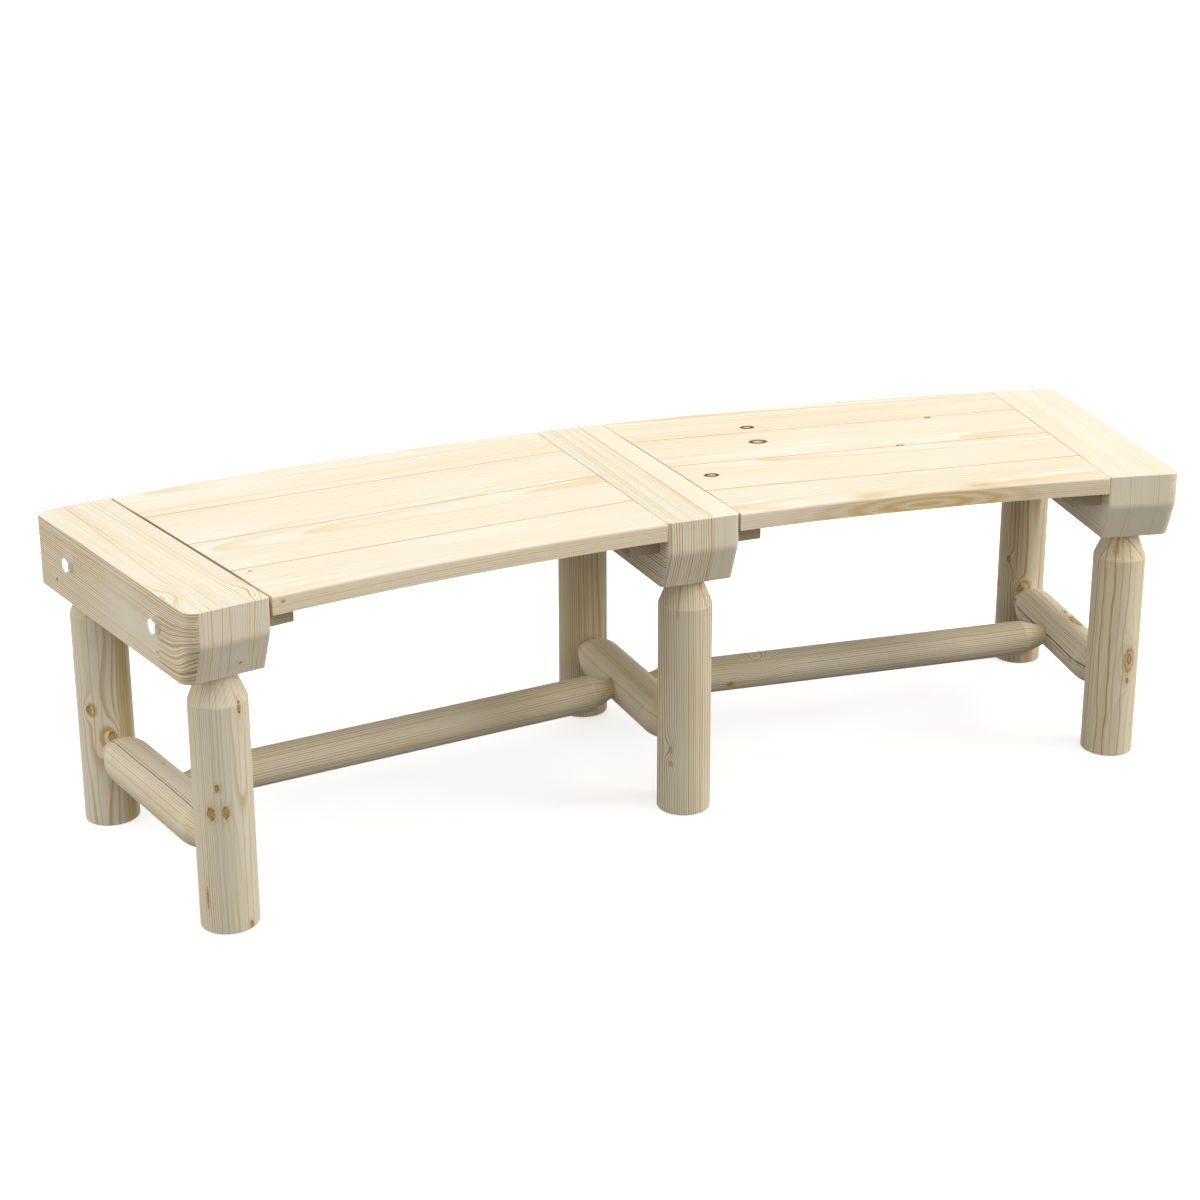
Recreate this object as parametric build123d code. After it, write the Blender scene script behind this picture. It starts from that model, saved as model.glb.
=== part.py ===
from build123d import *
import os
from math import atan2, cos, degrees, radians, sin, sqrt

# A curved log bench. Three squared logs point at the middle of the curve, each on two round log legs,
# and hold two bays of straight seat planks between them. A cross log ties the legs of each pair, and a
# long log under each bay ties the cross logs.
#
# Millimetres, +Z up. The seat lies between two arcs about one upright axis, and its hollow side faces
# -Y. Everything is drawn about that axis and moved to the finished origin at the end. A "reach" is a
# distance outwards from the front arc, along a radius, and a "depth" of a bolt or a pin one below the
# seat. Side -1 is the left and side +1 the right.

# ---- seat ----
seat_height = 450.0
seat_depth = 489.0
front_radius = 3062.0
end_beam_angle = 12.53

# ---- squared log beams ----
beam_width = 108.5
beam_height = 99.2
end_beam_overhang = 5.5
nose_height = 52.7
nose_setback = 20.5
outer_corner_radius = 18.0
inner_corner_radius = 3.0
centre_corner_radius = 8.0
beam_easing = 1.2

# ---- seat planks, along the chord of their bay ----
board_thickness = 25.0
seam_reaches = (100.2, 224.8, 361.0)
seam_gap = 1.0
left_end_gap = 3.5
board_end_gap = 1.0
board_nose_radius = 4.0
board_easing = 0.6

# ---- cleats that carry the planks' ends along the beams ----
cleat_width = 45.5
cleat_thickness = 25.5
cleat_setback = 27.0
cleat_easing = 1.0

# ---- log legs ----
leg_radius = 38.0
front_leg_reach = 59.5
back_leg_reach = 435.0
shoulder_height = 40.5
leg_tenon_radius = 21.5
leg_tenon_length = 66.0
mortise_clearance = 0.3

# ---- cross logs between the legs of a pair ----
cross_radius = 33.5
cross_height = 110.0
cross_taper = 29.0
cross_tenon_radius = 22.0
cross_tenon_length = 42.0

# ---- long logs under the bays ----
long_radius = 26.6
long_height = 110.0
long_reach = 254.0
long_taper = 36.0
long_tenon_radius = 15.0
long_tenon_past_axis = 14.0
long_tenon_short_of_axis = 7.0

# ---- hex bolts through beam and cleat ----
bolt_radius = 6.0
bolt_clearance = 0.5
bolt_depth = 41.0
bolt_reaches = (92.7, 367.5)
hex_flats = 20.0
bolt_head_thickness = 7.5
nut_thickness = 10.0
nut_clearance = 0.05
washer_radius = 13.0
washer_thickness = 2.5
bolt_end_past_nut = 4.0

# ---- holes for the sunk screws that pin the tenons ----
pin_hole_radius = 3.0
pin_hole_depth = 12.0
leg_pin_depth = 78.5
leg_pin_reaches = {"front": 94.2, "back": 419.3}
end_long_pin_offset = 6.5
centre_long_pin_offset = 9.0
long_pin_reach = 258.0

# ---- sizes and names that follow ----
back_radius = front_radius + seat_depth
half_beam = beam_width / 2
beam_underside = seat_height - beam_height
board_underside = seat_height - board_thickness
cleat_underside = board_underside - cleat_thickness
leg_reaches = {"front": front_leg_reach, "back": back_leg_reach}
leg_span = back_leg_reach - front_leg_reach
half_bay = radians(end_beam_angle / 2)
beam_sides = {"left": -1, "centre": 0, "right": 1}
cleated_sides = {"left": (1,), "centre": (-1, 1), "right": (-1,)}
bay_sides = {"left": -1, "right": 1}
board_names = ("front", "middle_front", "middle_back", "back")
board_end_gaps = {"left": left_end_gap, "right": board_end_gap}


def radial(beam):
    """A beam's frame about the axis of the arcs: Y outwards along its legs' radius, X across to the right."""
    return Rot(0, 0, -beam_sides[beam] * end_beam_angle)


def chordal(bay):
    """A bay's frame about the axis of the arcs: Y outwards along its middle radius, X along its planks."""
    return Rot(0, 0, -bay_sides[bay] * end_beam_angle / 2)


def face_offset(beam, side):
    """How far this side face of a beam stands from its legs' radius: end beams overhang outwards."""
    return half_beam + side * beam_sides[beam] * end_beam_overhang


def upright(radius, length):
    """A cylinder that stands on the XY plane."""
    return Cylinder(radius, length, align=(Align.CENTER, Align.CENTER, Align.MIN))


def hexagon(flats, thickness):
    """A hexagonal prism that stands on the XY plane, with two corners along X."""
    return extrude(RegularPolygon(flats / sqrt(3), 6), thickness)


# ---- squared log beams ----


def make_beam(beam):
    """A squared log, flush with the seat, its ends on the two arcs and its nose sawn back underneath."""
    left = face_offset(beam, -1)
    right = face_offset(beam, 1)
    strip = Pos((right - left) / 2, front_radius) * Rectangle(left + right, 4 * seat_depth)
    body = Pos(0, 0, beam_underside) * extrude(strip & seat_ring(), beam_height)
    body -= nose_offcut()
    body = fillet(corner_edges(body, -left), corner_radius(beam, -1))
    body = fillet(corner_edges(body, right), corner_radius(beam, 1))
    body = chamfer(top_edges(body), beam_easing)
    for name in leg_reaches:
        body -= Pos(0, front_radius + leg_reaches[name], beam_underside) * leg_mortise()
        body -= leg_pin_place(beam, name) * pin_hole()
    body = radial(beam) * body
    for place in bolt_places(beam):
        body -= place * bolt_bore(beam)
    return body


def seat_ring():
    """Plan of the whole seat, the ring between its two arcs."""
    return Circle(back_radius) - Circle(front_radius)


def nose_offcut():
    """What the saw takes off under a beam's nose, from the knee down to the underside."""
    slope = nose_setback / nose_height
    over = nose_height / 2
    knee = beam_underside + nose_height
    high = (front_radius - over * slope, knee + over)
    low = (front_radius + nose_setback + over * slope, beam_underside - over)
    profile = Plane.YZ * make_face(Polyline(high, low, (high[0], low[1]), close=True))
    return extrude(profile, beam_width, both=True)


def corner_edges(body, across):
    """The edges that run upwards, straight or along the nose, in the side plane of a beam at this X."""
    edges = body.edges().filter_by_position(Axis.X, across - 0.01, across + 0.01)
    return edges.filter_by(lambda edge: edge.bounding_box().size.Z > nose_height / 2)


def corner_radius(beam, side):
    """The radius of a beam's corners on one side: an end beam's two outer corners are rounded widely."""
    if beam == "centre":
        return centre_corner_radius
    return outer_corner_radius if side == beam_sides[beam] else inner_corner_radius


# ---- seat planks ----


def make_board(bay, index):
    """One straight plank of a bay: the first and the last are sawn to the arcs."""
    edges = [-seat_depth, *seam_reaches, 2 * seat_depth]
    low = edges[index] + seam_gap / 2
    high = edges[index + 1] - seam_gap / 2
    strip = Pos(0, front_radius + (low + high) / 2) * Rectangle(4 * seat_depth, high - low)
    plan = bay_plan(bay) & (chordal(bay) * strip)
    board = Pos(0, 0, board_underside) * extrude(plan, board_thickness)
    board = chamfer(top_edges(board).filter_by(GeomType.LINE), board_easing)
    arcs = top_edges(board).filter_by(GeomType.CIRCLE)
    return fillet(arcs, board_nose_radius) if arcs else board


def top_edges(solid):
    """The edges round the topmost face."""
    return solid.faces().sort_by(Axis.Z)[-1].edges()


def bay_plan(bay):
    """Plan of one bay's planks, between the two arcs and clear of the beams at both ends."""
    side = bay_sides[bay]
    off_centre = beyond("centre", side, face_offset("centre", side) + board_end_gap)
    off_end = beyond(bay, -side, face_offset(bay, -side) + board_end_gaps[bay])
    return seat_ring() & off_centre & off_end


def beyond(beam, side, offset):
    """Plan of all that lies on one side of a beam's radius, at least this far from it."""
    size = 4 * seat_depth
    return radial(beam) * Pos(side * (offset + size / 2), front_radius) * Rectangle(size, size)


# ---- cleats ----


def make_cleat(beam, side):
    """A batten along a beam's side face, under the planks' ends."""
    batten = Box(cleat_width, seat_depth - 2 * cleat_setback, cleat_thickness)
    batten = chamfer(batten.edges(), cleat_easing)
    across = side * (face_offset(beam, side) + cleat_width / 2)
    middle = Pos(across, front_radius + seat_depth / 2, cleat_underside + cleat_thickness / 2)
    batten = radial(beam) * middle * batten
    for place in bolt_places(beam):
        batten -= place * bolt_bore(beam)
    return batten


# ---- log legs ----


def make_leg(beam, name):
    """A peeled log with a coned shoulder and a round tenon, square-cut at the foot."""
    outline = [
        (0, 0),
        (leg_radius, 0),
        (leg_radius, beam_underside - shoulder_height),
        (leg_tenon_radius, beam_underside),
        (leg_tenon_radius, beam_underside + leg_tenon_length),
        (0, beam_underside + leg_tenon_length),
    ]
    leg = revolve(Plane.XZ * make_face(Polyline(*outline, close=True)), Axis.Z)
    leg = radial(beam) * Pos(0, front_radius + leg_reaches[name], 0) * leg
    leg -= cross_place(beam) * cross_mortises()
    return leg


def leg_mortise():
    """The blind round mortise for a leg's tenon, up from the XY plane."""
    return upright(leg_tenon_radius + mortise_clearance, leg_tenon_length)


# ---- cross logs and long logs, both drawn along X ----


def tapered_log(radius, half_length, taper, tenon_radius, left_tenon, right_tenon):
    """A round log about the origin, tapered at both ends to round tenons of the given lengths."""
    outline = [
        (-half_length - left_tenon, 0),
        (-half_length - left_tenon, tenon_radius),
        (-half_length, tenon_radius),
        (-half_length + taper, radius),
        (half_length - taper, radius),
        (half_length, tenon_radius),
        (half_length + right_tenon, tenon_radius),
        (half_length + right_tenon, 0),
    ]
    return revolve(make_face(Polyline(*outline, close=True)), Axis.X)


def cross_place(beam):
    """The middle of a cross log, X along it towards the back."""
    middle = front_radius + front_leg_reach + leg_span / 2
    return radial(beam) * Pos(0, middle, cross_height) * Rot(0, 0, 90)


def cross_half_length():
    """Half of a cross log's length between the legs."""
    return leg_span / 2 - leg_radius


def make_cross_log(beam):
    """A log from the front leg to the back leg, with a mortise for each long log that meets it."""
    tenon = cross_tenon_length
    log = tapered_log(cross_radius, cross_half_length(), cross_taper, cross_tenon_radius, tenon, tenon)
    log = cross_place(beam) * log
    for bay in bays_of(beam):
        log -= long_place(bay) * long_mortise(bay, beam)
    log -= long_pin_place(beam) * pin_hole()
    return log


def cross_mortises():
    """The round mortises for a cross log's two tenons, as one cylinder along it."""
    length = 2 * (cross_half_length() + cross_tenon_length)
    return Cylinder(cross_tenon_radius + mortise_clearance, length, rotation=(0, 90, 0))


def bays_of(beam):
    """The bays that a beam stands at the end of."""
    return ("left", "right") if beam == "centre" else (beam,)


def long_place(bay):
    """The middle of a long log, X along it to the right."""
    return chordal(bay) * Pos(0, (front_radius + long_reach) * cos(half_bay), long_height)


def long_half_length():
    """Half of a long log's length between its tenons, which start at the cross logs' surfaces."""
    to_axis = (front_radius + long_reach) * sin(half_bay)
    return to_axis - (cross_radius + long_tenon_radius * sin(half_bay)) / cos(half_bay)


def long_tenons(bay):
    """Tenon lengths at a long log's left and right ends: at the centre they stop short of the axis."""
    to_axis = (cross_radius + long_tenon_radius * sin(half_bay)) / cos(half_bay)
    at_end = to_axis + long_tenon_past_axis
    at_centre = to_axis - long_tenon_short_of_axis
    return (at_end, at_centre) if bay == "left" else (at_centre, at_end)


def make_long_log(bay):
    """A log from the centre cross log to an end one."""
    log = tapered_log(long_radius, long_half_length(), long_taper, long_tenon_radius, *long_tenons(bay))
    return long_place(bay) * log


def long_mortise(bay, beam):
    """The round mortise for a long log's tenon at this beam, along X about the log's middle."""
    left, right = long_tenons(bay)
    at_left_end = (beam == "left") or (beam == "centre" and bay == "right")
    end = -long_half_length() - left if at_left_end else long_half_length() + right
    return Pos(end / 2, 0, 0) * Cylinder(long_tenon_radius + mortise_clearance, abs(end), rotation=(0, 90, 0))


# ---- hex bolts ----


def bolt_span(beam):
    """Both ends of the wood that a bolt clamps, measured to the right from the legs' radius."""
    ends = {}
    for side in (-1, 1):
        cleat = cleat_width if side in cleated_sides[beam] else 0
        ends[side] = side * (face_offset(beam, side) + cleat)
    return ends[-1], ends[1]


def bolt_grip(beam):
    """How much wood a bolt clamps."""
    left, right = bolt_span(beam)
    return right - left


def bolt_places(beam):
    """Frames of a beam's two bolts: the origin under the head and Z along the shank."""
    left, right = bolt_span(beam)
    start, turn = (right, -90) if beam == "right" else (left, 90)
    spots = [Pos(start, front_radius + reach, seat_height - bolt_depth) for reach in bolt_reaches]
    return [radial(beam) * spot * Rot(0, turn, 0) for spot in spots]


def bolt_bore(beam):
    """The clearance hole through all that a bolt clamps."""
    return upright(bolt_radius + bolt_clearance, bolt_grip(beam))


def make_bolt(beam):
    """A hex bolt along Z, with its head below the XY plane."""
    head = Pos(0, 0, -bolt_head_thickness) * hexagon(hex_flats, bolt_head_thickness)
    shank_length = bolt_grip(beam) + washer_thickness + nut_thickness + bolt_end_past_nut
    return head + upright(bolt_radius, shank_length)


def make_washer(beam):
    """A flat washer on the far side of the clamped wood."""
    ring = upright(washer_radius, washer_thickness) - upright(bolt_radius + bolt_clearance, washer_thickness)
    return Pos(0, 0, bolt_grip(beam)) * ring


def make_nut(beam):
    """A hex nut on its washer."""
    nut = hexagon(hex_flats, nut_thickness) - upright(bolt_radius + nut_clearance, nut_thickness)
    return Pos(0, 0, bolt_grip(beam) + washer_thickness) * nut


# ---- pin holes ----


def pin_hole():
    """A blind hole along Z from the XY plane, its mouth carried out past a round or sloping surface."""
    return Pos(0, 0, -pin_hole_depth) * upright(pin_hole_radius, 2 * pin_hole_depth)


def leg_pin_place(beam, name):
    """A hole in a beam's outer face, in the beam's own frame, with Z towards the axis of a leg's tenon."""
    side = -1 if beam == "left" else 1
    reach = leg_pin_reaches[name]
    across = side * face_offset(beam, side)
    turn = degrees(atan2(leg_reaches[name] - reach, -across))
    return Pos(across, front_radius + reach, seat_height - leg_pin_depth) * Rot(0, 0, turn) * Rot(0, 90, 0)


def long_pin_place(beam):
    """A hole on top of a cross log, with Z down towards a long log's tenon."""
    across = centre_long_pin_offset if beam == "centre" else end_long_pin_offset
    top = cross_height + sqrt(cross_radius**2 - across**2)
    return radial(beam) * Pos(across, front_radius + long_pin_reach, top) * Rot(180, 0, 0)


# ---- the bench ----


def build_pieces():
    """Every wooden piece by name, about the axis of the arcs."""
    pieces = {}
    for beam in beam_sides:
        pieces["centre_beam" if beam == "centre" else f"end_beam_{beam}"] = make_beam(beam)
        pieces[f"cross_stretcher_{beam}"] = make_cross_log(beam)
        for name in leg_reaches:
            pieces[f"leg_{beam}_{name}"] = make_leg(beam, name)
    for bay, side in bay_sides.items():
        pieces[f"cleat_{bay}_outer"] = make_cleat(bay, -side)
        pieces[f"cleat_{bay}_inner"] = make_cleat("centre", side)
        pieces[f"long_stretcher_{bay}"] = make_long_log(bay)
        for index, name in enumerate(board_names):
            pieces[f"seat_board_{bay}_{name}"] = make_board(bay, index)
    return pieces


def build_fasteners():
    """Groups of identical fasteners by name, about the axis of the arcs."""
    groups = {"bolt_washers": [], "bolt_nuts": []}
    for beam in beam_sides:
        places = bolt_places(beam)
        groups[f"bolts_{beam}"] = [place * make_bolt(beam) for place in places]
        groups["bolt_washers"] += [place * make_washer(beam) for place in places]
        groups["bolt_nuts"] += [place * make_nut(beam) for place in places]
    return {name: Compound(solids) for name, solids in groups.items()}


def main():
    """Build the bench, set it on its origin and write one STEP for each sub-part."""
    os.makedirs("parts", exist_ok=True)
    bench = {**build_pieces(), **build_fasteners()}
    box = Compound(list(bench.values())).bounding_box()
    to_origin = Pos(-box.center().X, -box.center().Y, -box.min.Z)
    for name, shape in bench.items():
        export_step(to_origin * shape, f"parts/{name}.step")
    print("size", box.size, "moved by", to_origin.position)


main()
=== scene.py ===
"""A curved log bench of bare pine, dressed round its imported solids.

Metres, +Z up, with the hollow side of the curve towards -Y. Three squared beams point at the middle of
the curve. Each stands on two round log legs, and the beams hold two bays of seat planks between them.
Every wooden piece has a local frame whose X runs along its grain, and its solid pine is figured there.
"""

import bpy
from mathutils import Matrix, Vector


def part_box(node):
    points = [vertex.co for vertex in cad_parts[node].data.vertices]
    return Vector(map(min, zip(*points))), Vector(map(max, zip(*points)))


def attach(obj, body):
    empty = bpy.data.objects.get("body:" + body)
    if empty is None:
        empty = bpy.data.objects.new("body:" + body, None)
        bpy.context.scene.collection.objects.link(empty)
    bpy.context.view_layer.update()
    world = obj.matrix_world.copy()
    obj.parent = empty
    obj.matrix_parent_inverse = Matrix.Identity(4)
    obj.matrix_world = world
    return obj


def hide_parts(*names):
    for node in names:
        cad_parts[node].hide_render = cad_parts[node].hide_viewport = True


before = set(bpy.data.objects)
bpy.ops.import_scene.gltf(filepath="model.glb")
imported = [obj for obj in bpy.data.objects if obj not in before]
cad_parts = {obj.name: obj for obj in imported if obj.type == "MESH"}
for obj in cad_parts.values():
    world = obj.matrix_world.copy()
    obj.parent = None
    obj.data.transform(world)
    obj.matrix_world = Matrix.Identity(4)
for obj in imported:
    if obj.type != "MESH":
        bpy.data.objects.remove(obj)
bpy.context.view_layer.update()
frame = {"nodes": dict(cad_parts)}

import logging
import math
from dataclasses import dataclass, field
from enum import Enum
from typing import Callable, Sequence

import bmesh
import bpy
from mathutils import Matrix, Vector

Triple = tuple[float, float, float]

LOG = logging.getLogger("log_bench")
MM = 0.001
QUARTER = math.pi / 2
X_TO_Z = Matrix.Rotation(-QUARTER, 4, "Y")
X_TO_Y = Matrix.Rotation(QUARTER, 4, "Z")
FLIP = Matrix.Rotation(math.pi, 4, "X")
PAST_FACE = 10 * MM
TENON_PLAY = 0.3 * MM
ROUND_STEPS = 5
PIN_SIDES, BORE_SIDES, BAR_SIDES, LOG_SIDES = 24, 32, 48, 96
BODY = "root"
# The wear mark lightens worn edges where it is positive; where it is negative it paints shade into the seams
# between planks.
WEAR_AND_SHADE, SIDE, UPRIGHT, TURN = "wear", "side", "upright", "turn"


class Side(Enum):
    """Where a beam or a bay stands, seen from the hollow side."""

    LEFT = -1
    CENTRE = 0
    RIGHT = 1

    @property
    def word(self) -> str:
        """The side's name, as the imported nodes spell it."""
        return self.name.lower()


BAYS = (Side.LEFT, Side.RIGHT)


@dataclass(frozen=True)
class Plan:
    """The sizes that every sub-assembly shares: two arcs about one upright axis."""

    front_radius: float = 3062 * MM
    depth: float = 489 * MM
    end_angle: float = math.radians(12.53)
    seat_height: float = 450 * MM
    beam_width: float = 108.5 * MM
    beam_height: float = 99.2 * MM
    end_overhang: float = 5.5 * MM
    leg_reaches: tuple[float, float] = (59.5 * MM, 435 * MM)
    leg_radius: float = 38 * MM
    stretcher_height: float = 110 * MM
    cleat_width: float = 45.5 * MM
    cleat_underside: float = 399.5 * MM

    @property
    def back_radius(self) -> float:
        """The radius of the outer arc."""
        return self.front_radius + self.depth

    @property
    def beam_low(self) -> float:
        """The height of the beams' undersides."""
        return self.seat_height - self.beam_height

    @property
    def axis(self) -> Vector:
        """The foot of the upright axis of the arcs, taken from the centre front leg."""
        low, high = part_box("leg_centre_front")
        return Vector((0, (low.y + high.y) / 2 - self.front_radius - self.leg_reaches[0], 0))

    def turned(self, share: float) -> Matrix:
        """The frame on the arcs' axis, turned by a share of the angle between two beams."""
        return Matrix.Translation(self.axis) @ Matrix.Rotation(-share * self.end_angle, 4, "Z")

    def radial(self, side: Side) -> Matrix:
        """The frame of a beam: Y outwards along its legs' radius, X across to the right."""
        return self.turned(side.value)

    def chordal(self, bay: Side) -> Matrix:
        """The frame of a bay: Y outwards along its middle radius, X along its planks."""
        return self.turned(bay.value / 2)

    def at(self, side: Side, across: float, reach: float, height: float) -> Matrix:
        """A beam's frame, moved across the beam, outwards from the front arc and up."""
        return self.radial(side) @ Matrix.Translation((across, self.front_radius + reach, height))

    def face_offset(self, beam: Side, toward: int) -> float:
        """How far a beam's left (-1) or right (1) face stands from its legs' radius."""
        return self.beam_width / 2 + toward * beam.value * self.end_overhang


def arithmetic(operation: str, swapped: bool = False) -> "Callable[[Value, Feed], Value]":
    """Make an arithmetic method of Value.

    Args:
        operation: What its Math node does.
        swapped: Whether the other operand comes first.

    Returns:
        The method.
    """
    def method(self: "Value", other: "Feed") -> "Value":
        """Add the node."""
        add = self.graph.vector if self.socket.type == "VECTOR" else self.graph.math
        return add(operation, *((other, self) if swapped else (self, other)))

    return method


class Value:
    """A number, vector or shape inside a node tree. Its arithmetic adds Math nodes."""

    def __init__(self, graph: "Graph", socket: bpy.types.NodeSocket) -> None:
        """Take an output socket of a graph's tree."""
        self.graph, self.socket = graph, socket

    __add__ = arithmetic("ADD")
    __sub__, __rsub__ = arithmetic("SUBTRACT"), arithmetic("SUBTRACT", True)
    __mul__ = arithmetic("MULTIPLY")
    __truediv__, __rtruediv__ = arithmetic("DIVIDE"), arithmetic("DIVIDE", True)


Feed = float | Sequence[float] | Value
Feeds = dict[str | int, Feed]


class Graph:
    """Adds nodes to a tree and links them in reading order."""

    def __init__(self, tree: bpy.types.NodeTree) -> None:
        """Work on a shader or geometry tree."""
        self.tree = tree

    def feed(self, socket: bpy.types.NodeSocket, value: Feed) -> None:
        """Link a socket, or set it.

        Args:
            socket: The input socket.
            value: A value of the tree to link, or a plain one.
        """
        if isinstance(value, Value):
            self.tree.links.new(value.socket, socket)
        else:
            socket.default_value = value

    def node(self, kind: str, feeds: Feeds | None = None, **settings: object) -> bpy.types.Node:
        """Add one node.

        Args:
            kind: Blender's name for the type of node.
            feeds: What goes into its inputs, by name or number.
            **settings: Properties of the node itself.

        Returns:
            The new node.
        """
        node = self.tree.nodes.new(kind)
        for name, value in settings.items():
            setattr(node, name, value)
        for key, value in (feeds or {}).items():
            self.feed(node.inputs[key], value)
        return node

    def add(self, kind: str, feeds: Feeds | None = None, output: str | int = 0, **settings: object) -> Value:
        """Add one node, as node does, and take one of its outputs."""
        return Value(self, self.node(kind, feeds, **settings).outputs[output])

    def results(self, kind: str, **values: Feed) -> bpy.types.NodeTree:
        """End a tree with its outputs.

        Args:
            kind: The type of the outputs.
            **values: What goes into them, by name.

        Returns:
            The tree.
        """
        for name in values:
            self.tree.interface.new_socket(name, in_out="OUTPUT", socket_type="NodeSocket" + kind)
        self.node("NodeGroupOutput", values)
        return self.tree

    def math(self, operation: str, *values: Feed, clamp: bool = False) -> Value:
        """Add a Math node, its result held between 0 and 1 if clamp is set."""
        return self.add("ShaderNodeMath", dict(enumerate(values)), operation=operation, use_clamp=clamp)

    def vector(self, operation: str, *values: Feed) -> Value:
        """Add a Vector Math node, which gives a number for a length or a dot product."""
        output = "Value" if operation in ("LENGTH", "DOT_PRODUCT") else "Vector"
        return self.add("ShaderNodeVectorMath", dict(enumerate(values)), output, operation=operation)

    def scaled(self, vector: Feed, factor: Feed) -> Value:
        """Multiply a vector or a colour by a number."""
        return self.add("ShaderNodeVectorMath", {0: vector, "Scale": factor}, operation="SCALE")

    def step(self, low: Feed, high: Feed, value: Feed) -> Value:
        """Rise smoothly from 0 where the value is low to 1 where it is high."""
        feeds = {"Value": value, "From Min": low, "From Max": high}
        return self.add("ShaderNodeMapRange", feeds, interpolation_type="SMOOTHSTEP")

    def fall(self, low: Feed, high: Feed, value: Feed) -> Value:
        """Fall smoothly from 1 where the value is low to 0 where it is high."""
        return 1.0 - self.step(low, high, value)

    def mix(self, factor: Feed, first: Feed, second: Feed) -> Value:
        """Mix two colours, from the first at 0 to the second at 1."""
        ends = [(*colour, 1.0) if isinstance(colour, tuple) else colour for colour in (first, second)]
        return self.add("ShaderNodeMix", {0: factor, 6: ends[0], 7: ends[1]}, 2, data_type="RGBA")

    def noise(
        self, vector: Feed, seed: Feed, detail: float = 2.0, rough: float = 0.5, scale: float = 1.0
    ) -> Value:
        """Add smooth noise from 0 to 1.

        Args:
            vector: Where to read it.
            seed: Which noise it is.
            detail: How many octaves it has.
            rough: How strong the finer octaves are.
            scale: How many lumps there are to a unit of the vector.

        Returns:
            The noise.
        """
        feeds = {"Vector": vector, "W": seed, "Scale": scale, "Detail": detail, "Roughness": rough}
        return self.add("ShaderNodeTexNoise", feeds, noise_dimensions="4D")

    def xyz(self, x: Feed, y: Feed, z: Feed) -> Value:
        """Put three numbers together as a vector."""
        return self.add("ShaderNodeCombineXYZ", {0: x, 1: y, 2: z})

    def parts(self, vector: Feed) -> list[Value]:
        """Take a vector apart into its three numbers."""
        return [Value(self, socket) for socket in self.node("ShaderNodeSeparateXYZ", {0: vector}).outputs]

    def mark(self, name: str) -> Value:
        """Read an attribute of the shaded surface."""
        return self.add("ShaderNodeAttribute", output="Fac", attribute_name=name)

    def surface(self, colour: Feed, rough: Feed, bump: dict[str, Feed], extra: dict[str, Feed]) -> None:
        """End a material with its shader.

        Args:
            colour: The base colour.
            rough: The roughness.
            bump: What goes into the bump node.
            extra: What goes into the shader's other sockets.
        """
        feeds = {"Base Color": colour, "Roughness": rough, "Normal": self.add("ShaderNodeBump", bump)}
        shader = self.add("ShaderNodeBsdfPrincipled", feeds | extra)
        self.node("ShaderNodeOutputMaterial", {"Surface": shader})


def start_tree(name: str, kind: str, **inputs: str) -> tuple[Graph, dict[str, Value]]:
    """Start a node tree.

    Args:
        name: Its name.
        kind: Shader or Geometry.
        **inputs: For each type of socket, the names of its inputs with a space between them.

    Returns:
        Its graph, and its inputs by name.
    """
    g = Graph(bpy.data.node_groups.new(name, kind + "NodeTree"))
    for socket_kind, names in inputs.items():
        for socket_name in names.split():
            g.tree.interface.new_socket(socket_name, in_out="INPUT", socket_type="NodeSocket" + socket_kind)
    return g, {socket.name: Value(g, socket) for socket in g.node("NodeGroupInput").outputs}


def start_material(name: str) -> tuple[bpy.types.Material, Graph]:
    """Start a material with an empty tree.

    Args:
        name: Its name.

    Returns:
        The material and its graph.
    """
    material = bpy.data.materials.new(name)
    material.use_nodes = True
    material.node_tree.nodes.clear()
    return material, Graph(material.node_tree)


@dataclass(frozen=True)
class Knot:
    """A branch cut through by the surface. A bare one shows only its rings."""

    place: Triple
    axis: Triple = (0.0, 0.0, 1.0)
    radius: float = 5 * MM
    stretch: float = 1.25
    swell: float = 6 * MM
    spread: float = 2.6
    dark: float = 0.75
    depth: float = 30 * MM
    soft: float = 1.0
    halo: float = 0.6
    on_side: bool = False
    bare: bool = False


@dataclass(frozen=True)
class Streak:
    """A thin dark check or pitch line along a round log."""

    angle: float
    start: float
    end: float
    width: float = 0.8 * MM
    wander: float = 1.5 * MM
    dark: float = 0.8
    amber: bool = False


@dataclass(frozen=True)
class Vein:
    """A thin amber or dark sheet between two rings of a sawn piece."""

    across: float
    lean: float = 0.0
    start: float = -1.0
    end: float = 2.0
    width: float = 1.2 * MM
    wander: float = 1.0 * MM
    dark: float = 0.7
    amber: bool = True
    on_side: bool = False


@dataclass(frozen=True)
class Grain:
    """How one piece was sawn from its tree: where its pith lies in the piece's own frame."""

    pith: tuple[float, float] = (0.0, 0.0)
    tilt: tuple[float, float] = (0.0, 0.0)
    ring: float = 3.5 * MM
    warp: float = 3 * MM
    warp_length: float = 0.35
    ripple: float = 0.4 * MM
    uneven: float = 1.4
    contrast: float = 1.0
    end_contrast: float = 1.0
    side_contrast: float = 1.0
    plain: tuple[float, float] | None = None
    amber: float = 0.7
    seed: float = 0.0
    knots: tuple[Knot, ...] = ()
    streaks: tuple[Streak, ...] = ()
    veins: tuple[Vein, ...] = ()


@dataclass(frozen=True)
class PineFinish:
    """The colours of one kind of bare pine surface."""

    early: Triple = (0.89, 0.80, 0.61)
    warm: Triple = (0.87, 0.755, 0.53)
    late: Triple = (0.60, 0.44, 0.22)
    amber: Triple = (0.62, 0.40, 0.07)
    knot: Triple = (0.36, 0.19, 0.06)
    rim: Triple = (0.10, 0.045, 0.02)
    halo: Triple = (0.70, 0.455, 0.12)
    # Painted shade: the dark colour painted into the seams between planks, where shade falls.
    gap: Triple = (0.30, 0.24, 0.16)
    rough: float = 0.62


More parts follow.
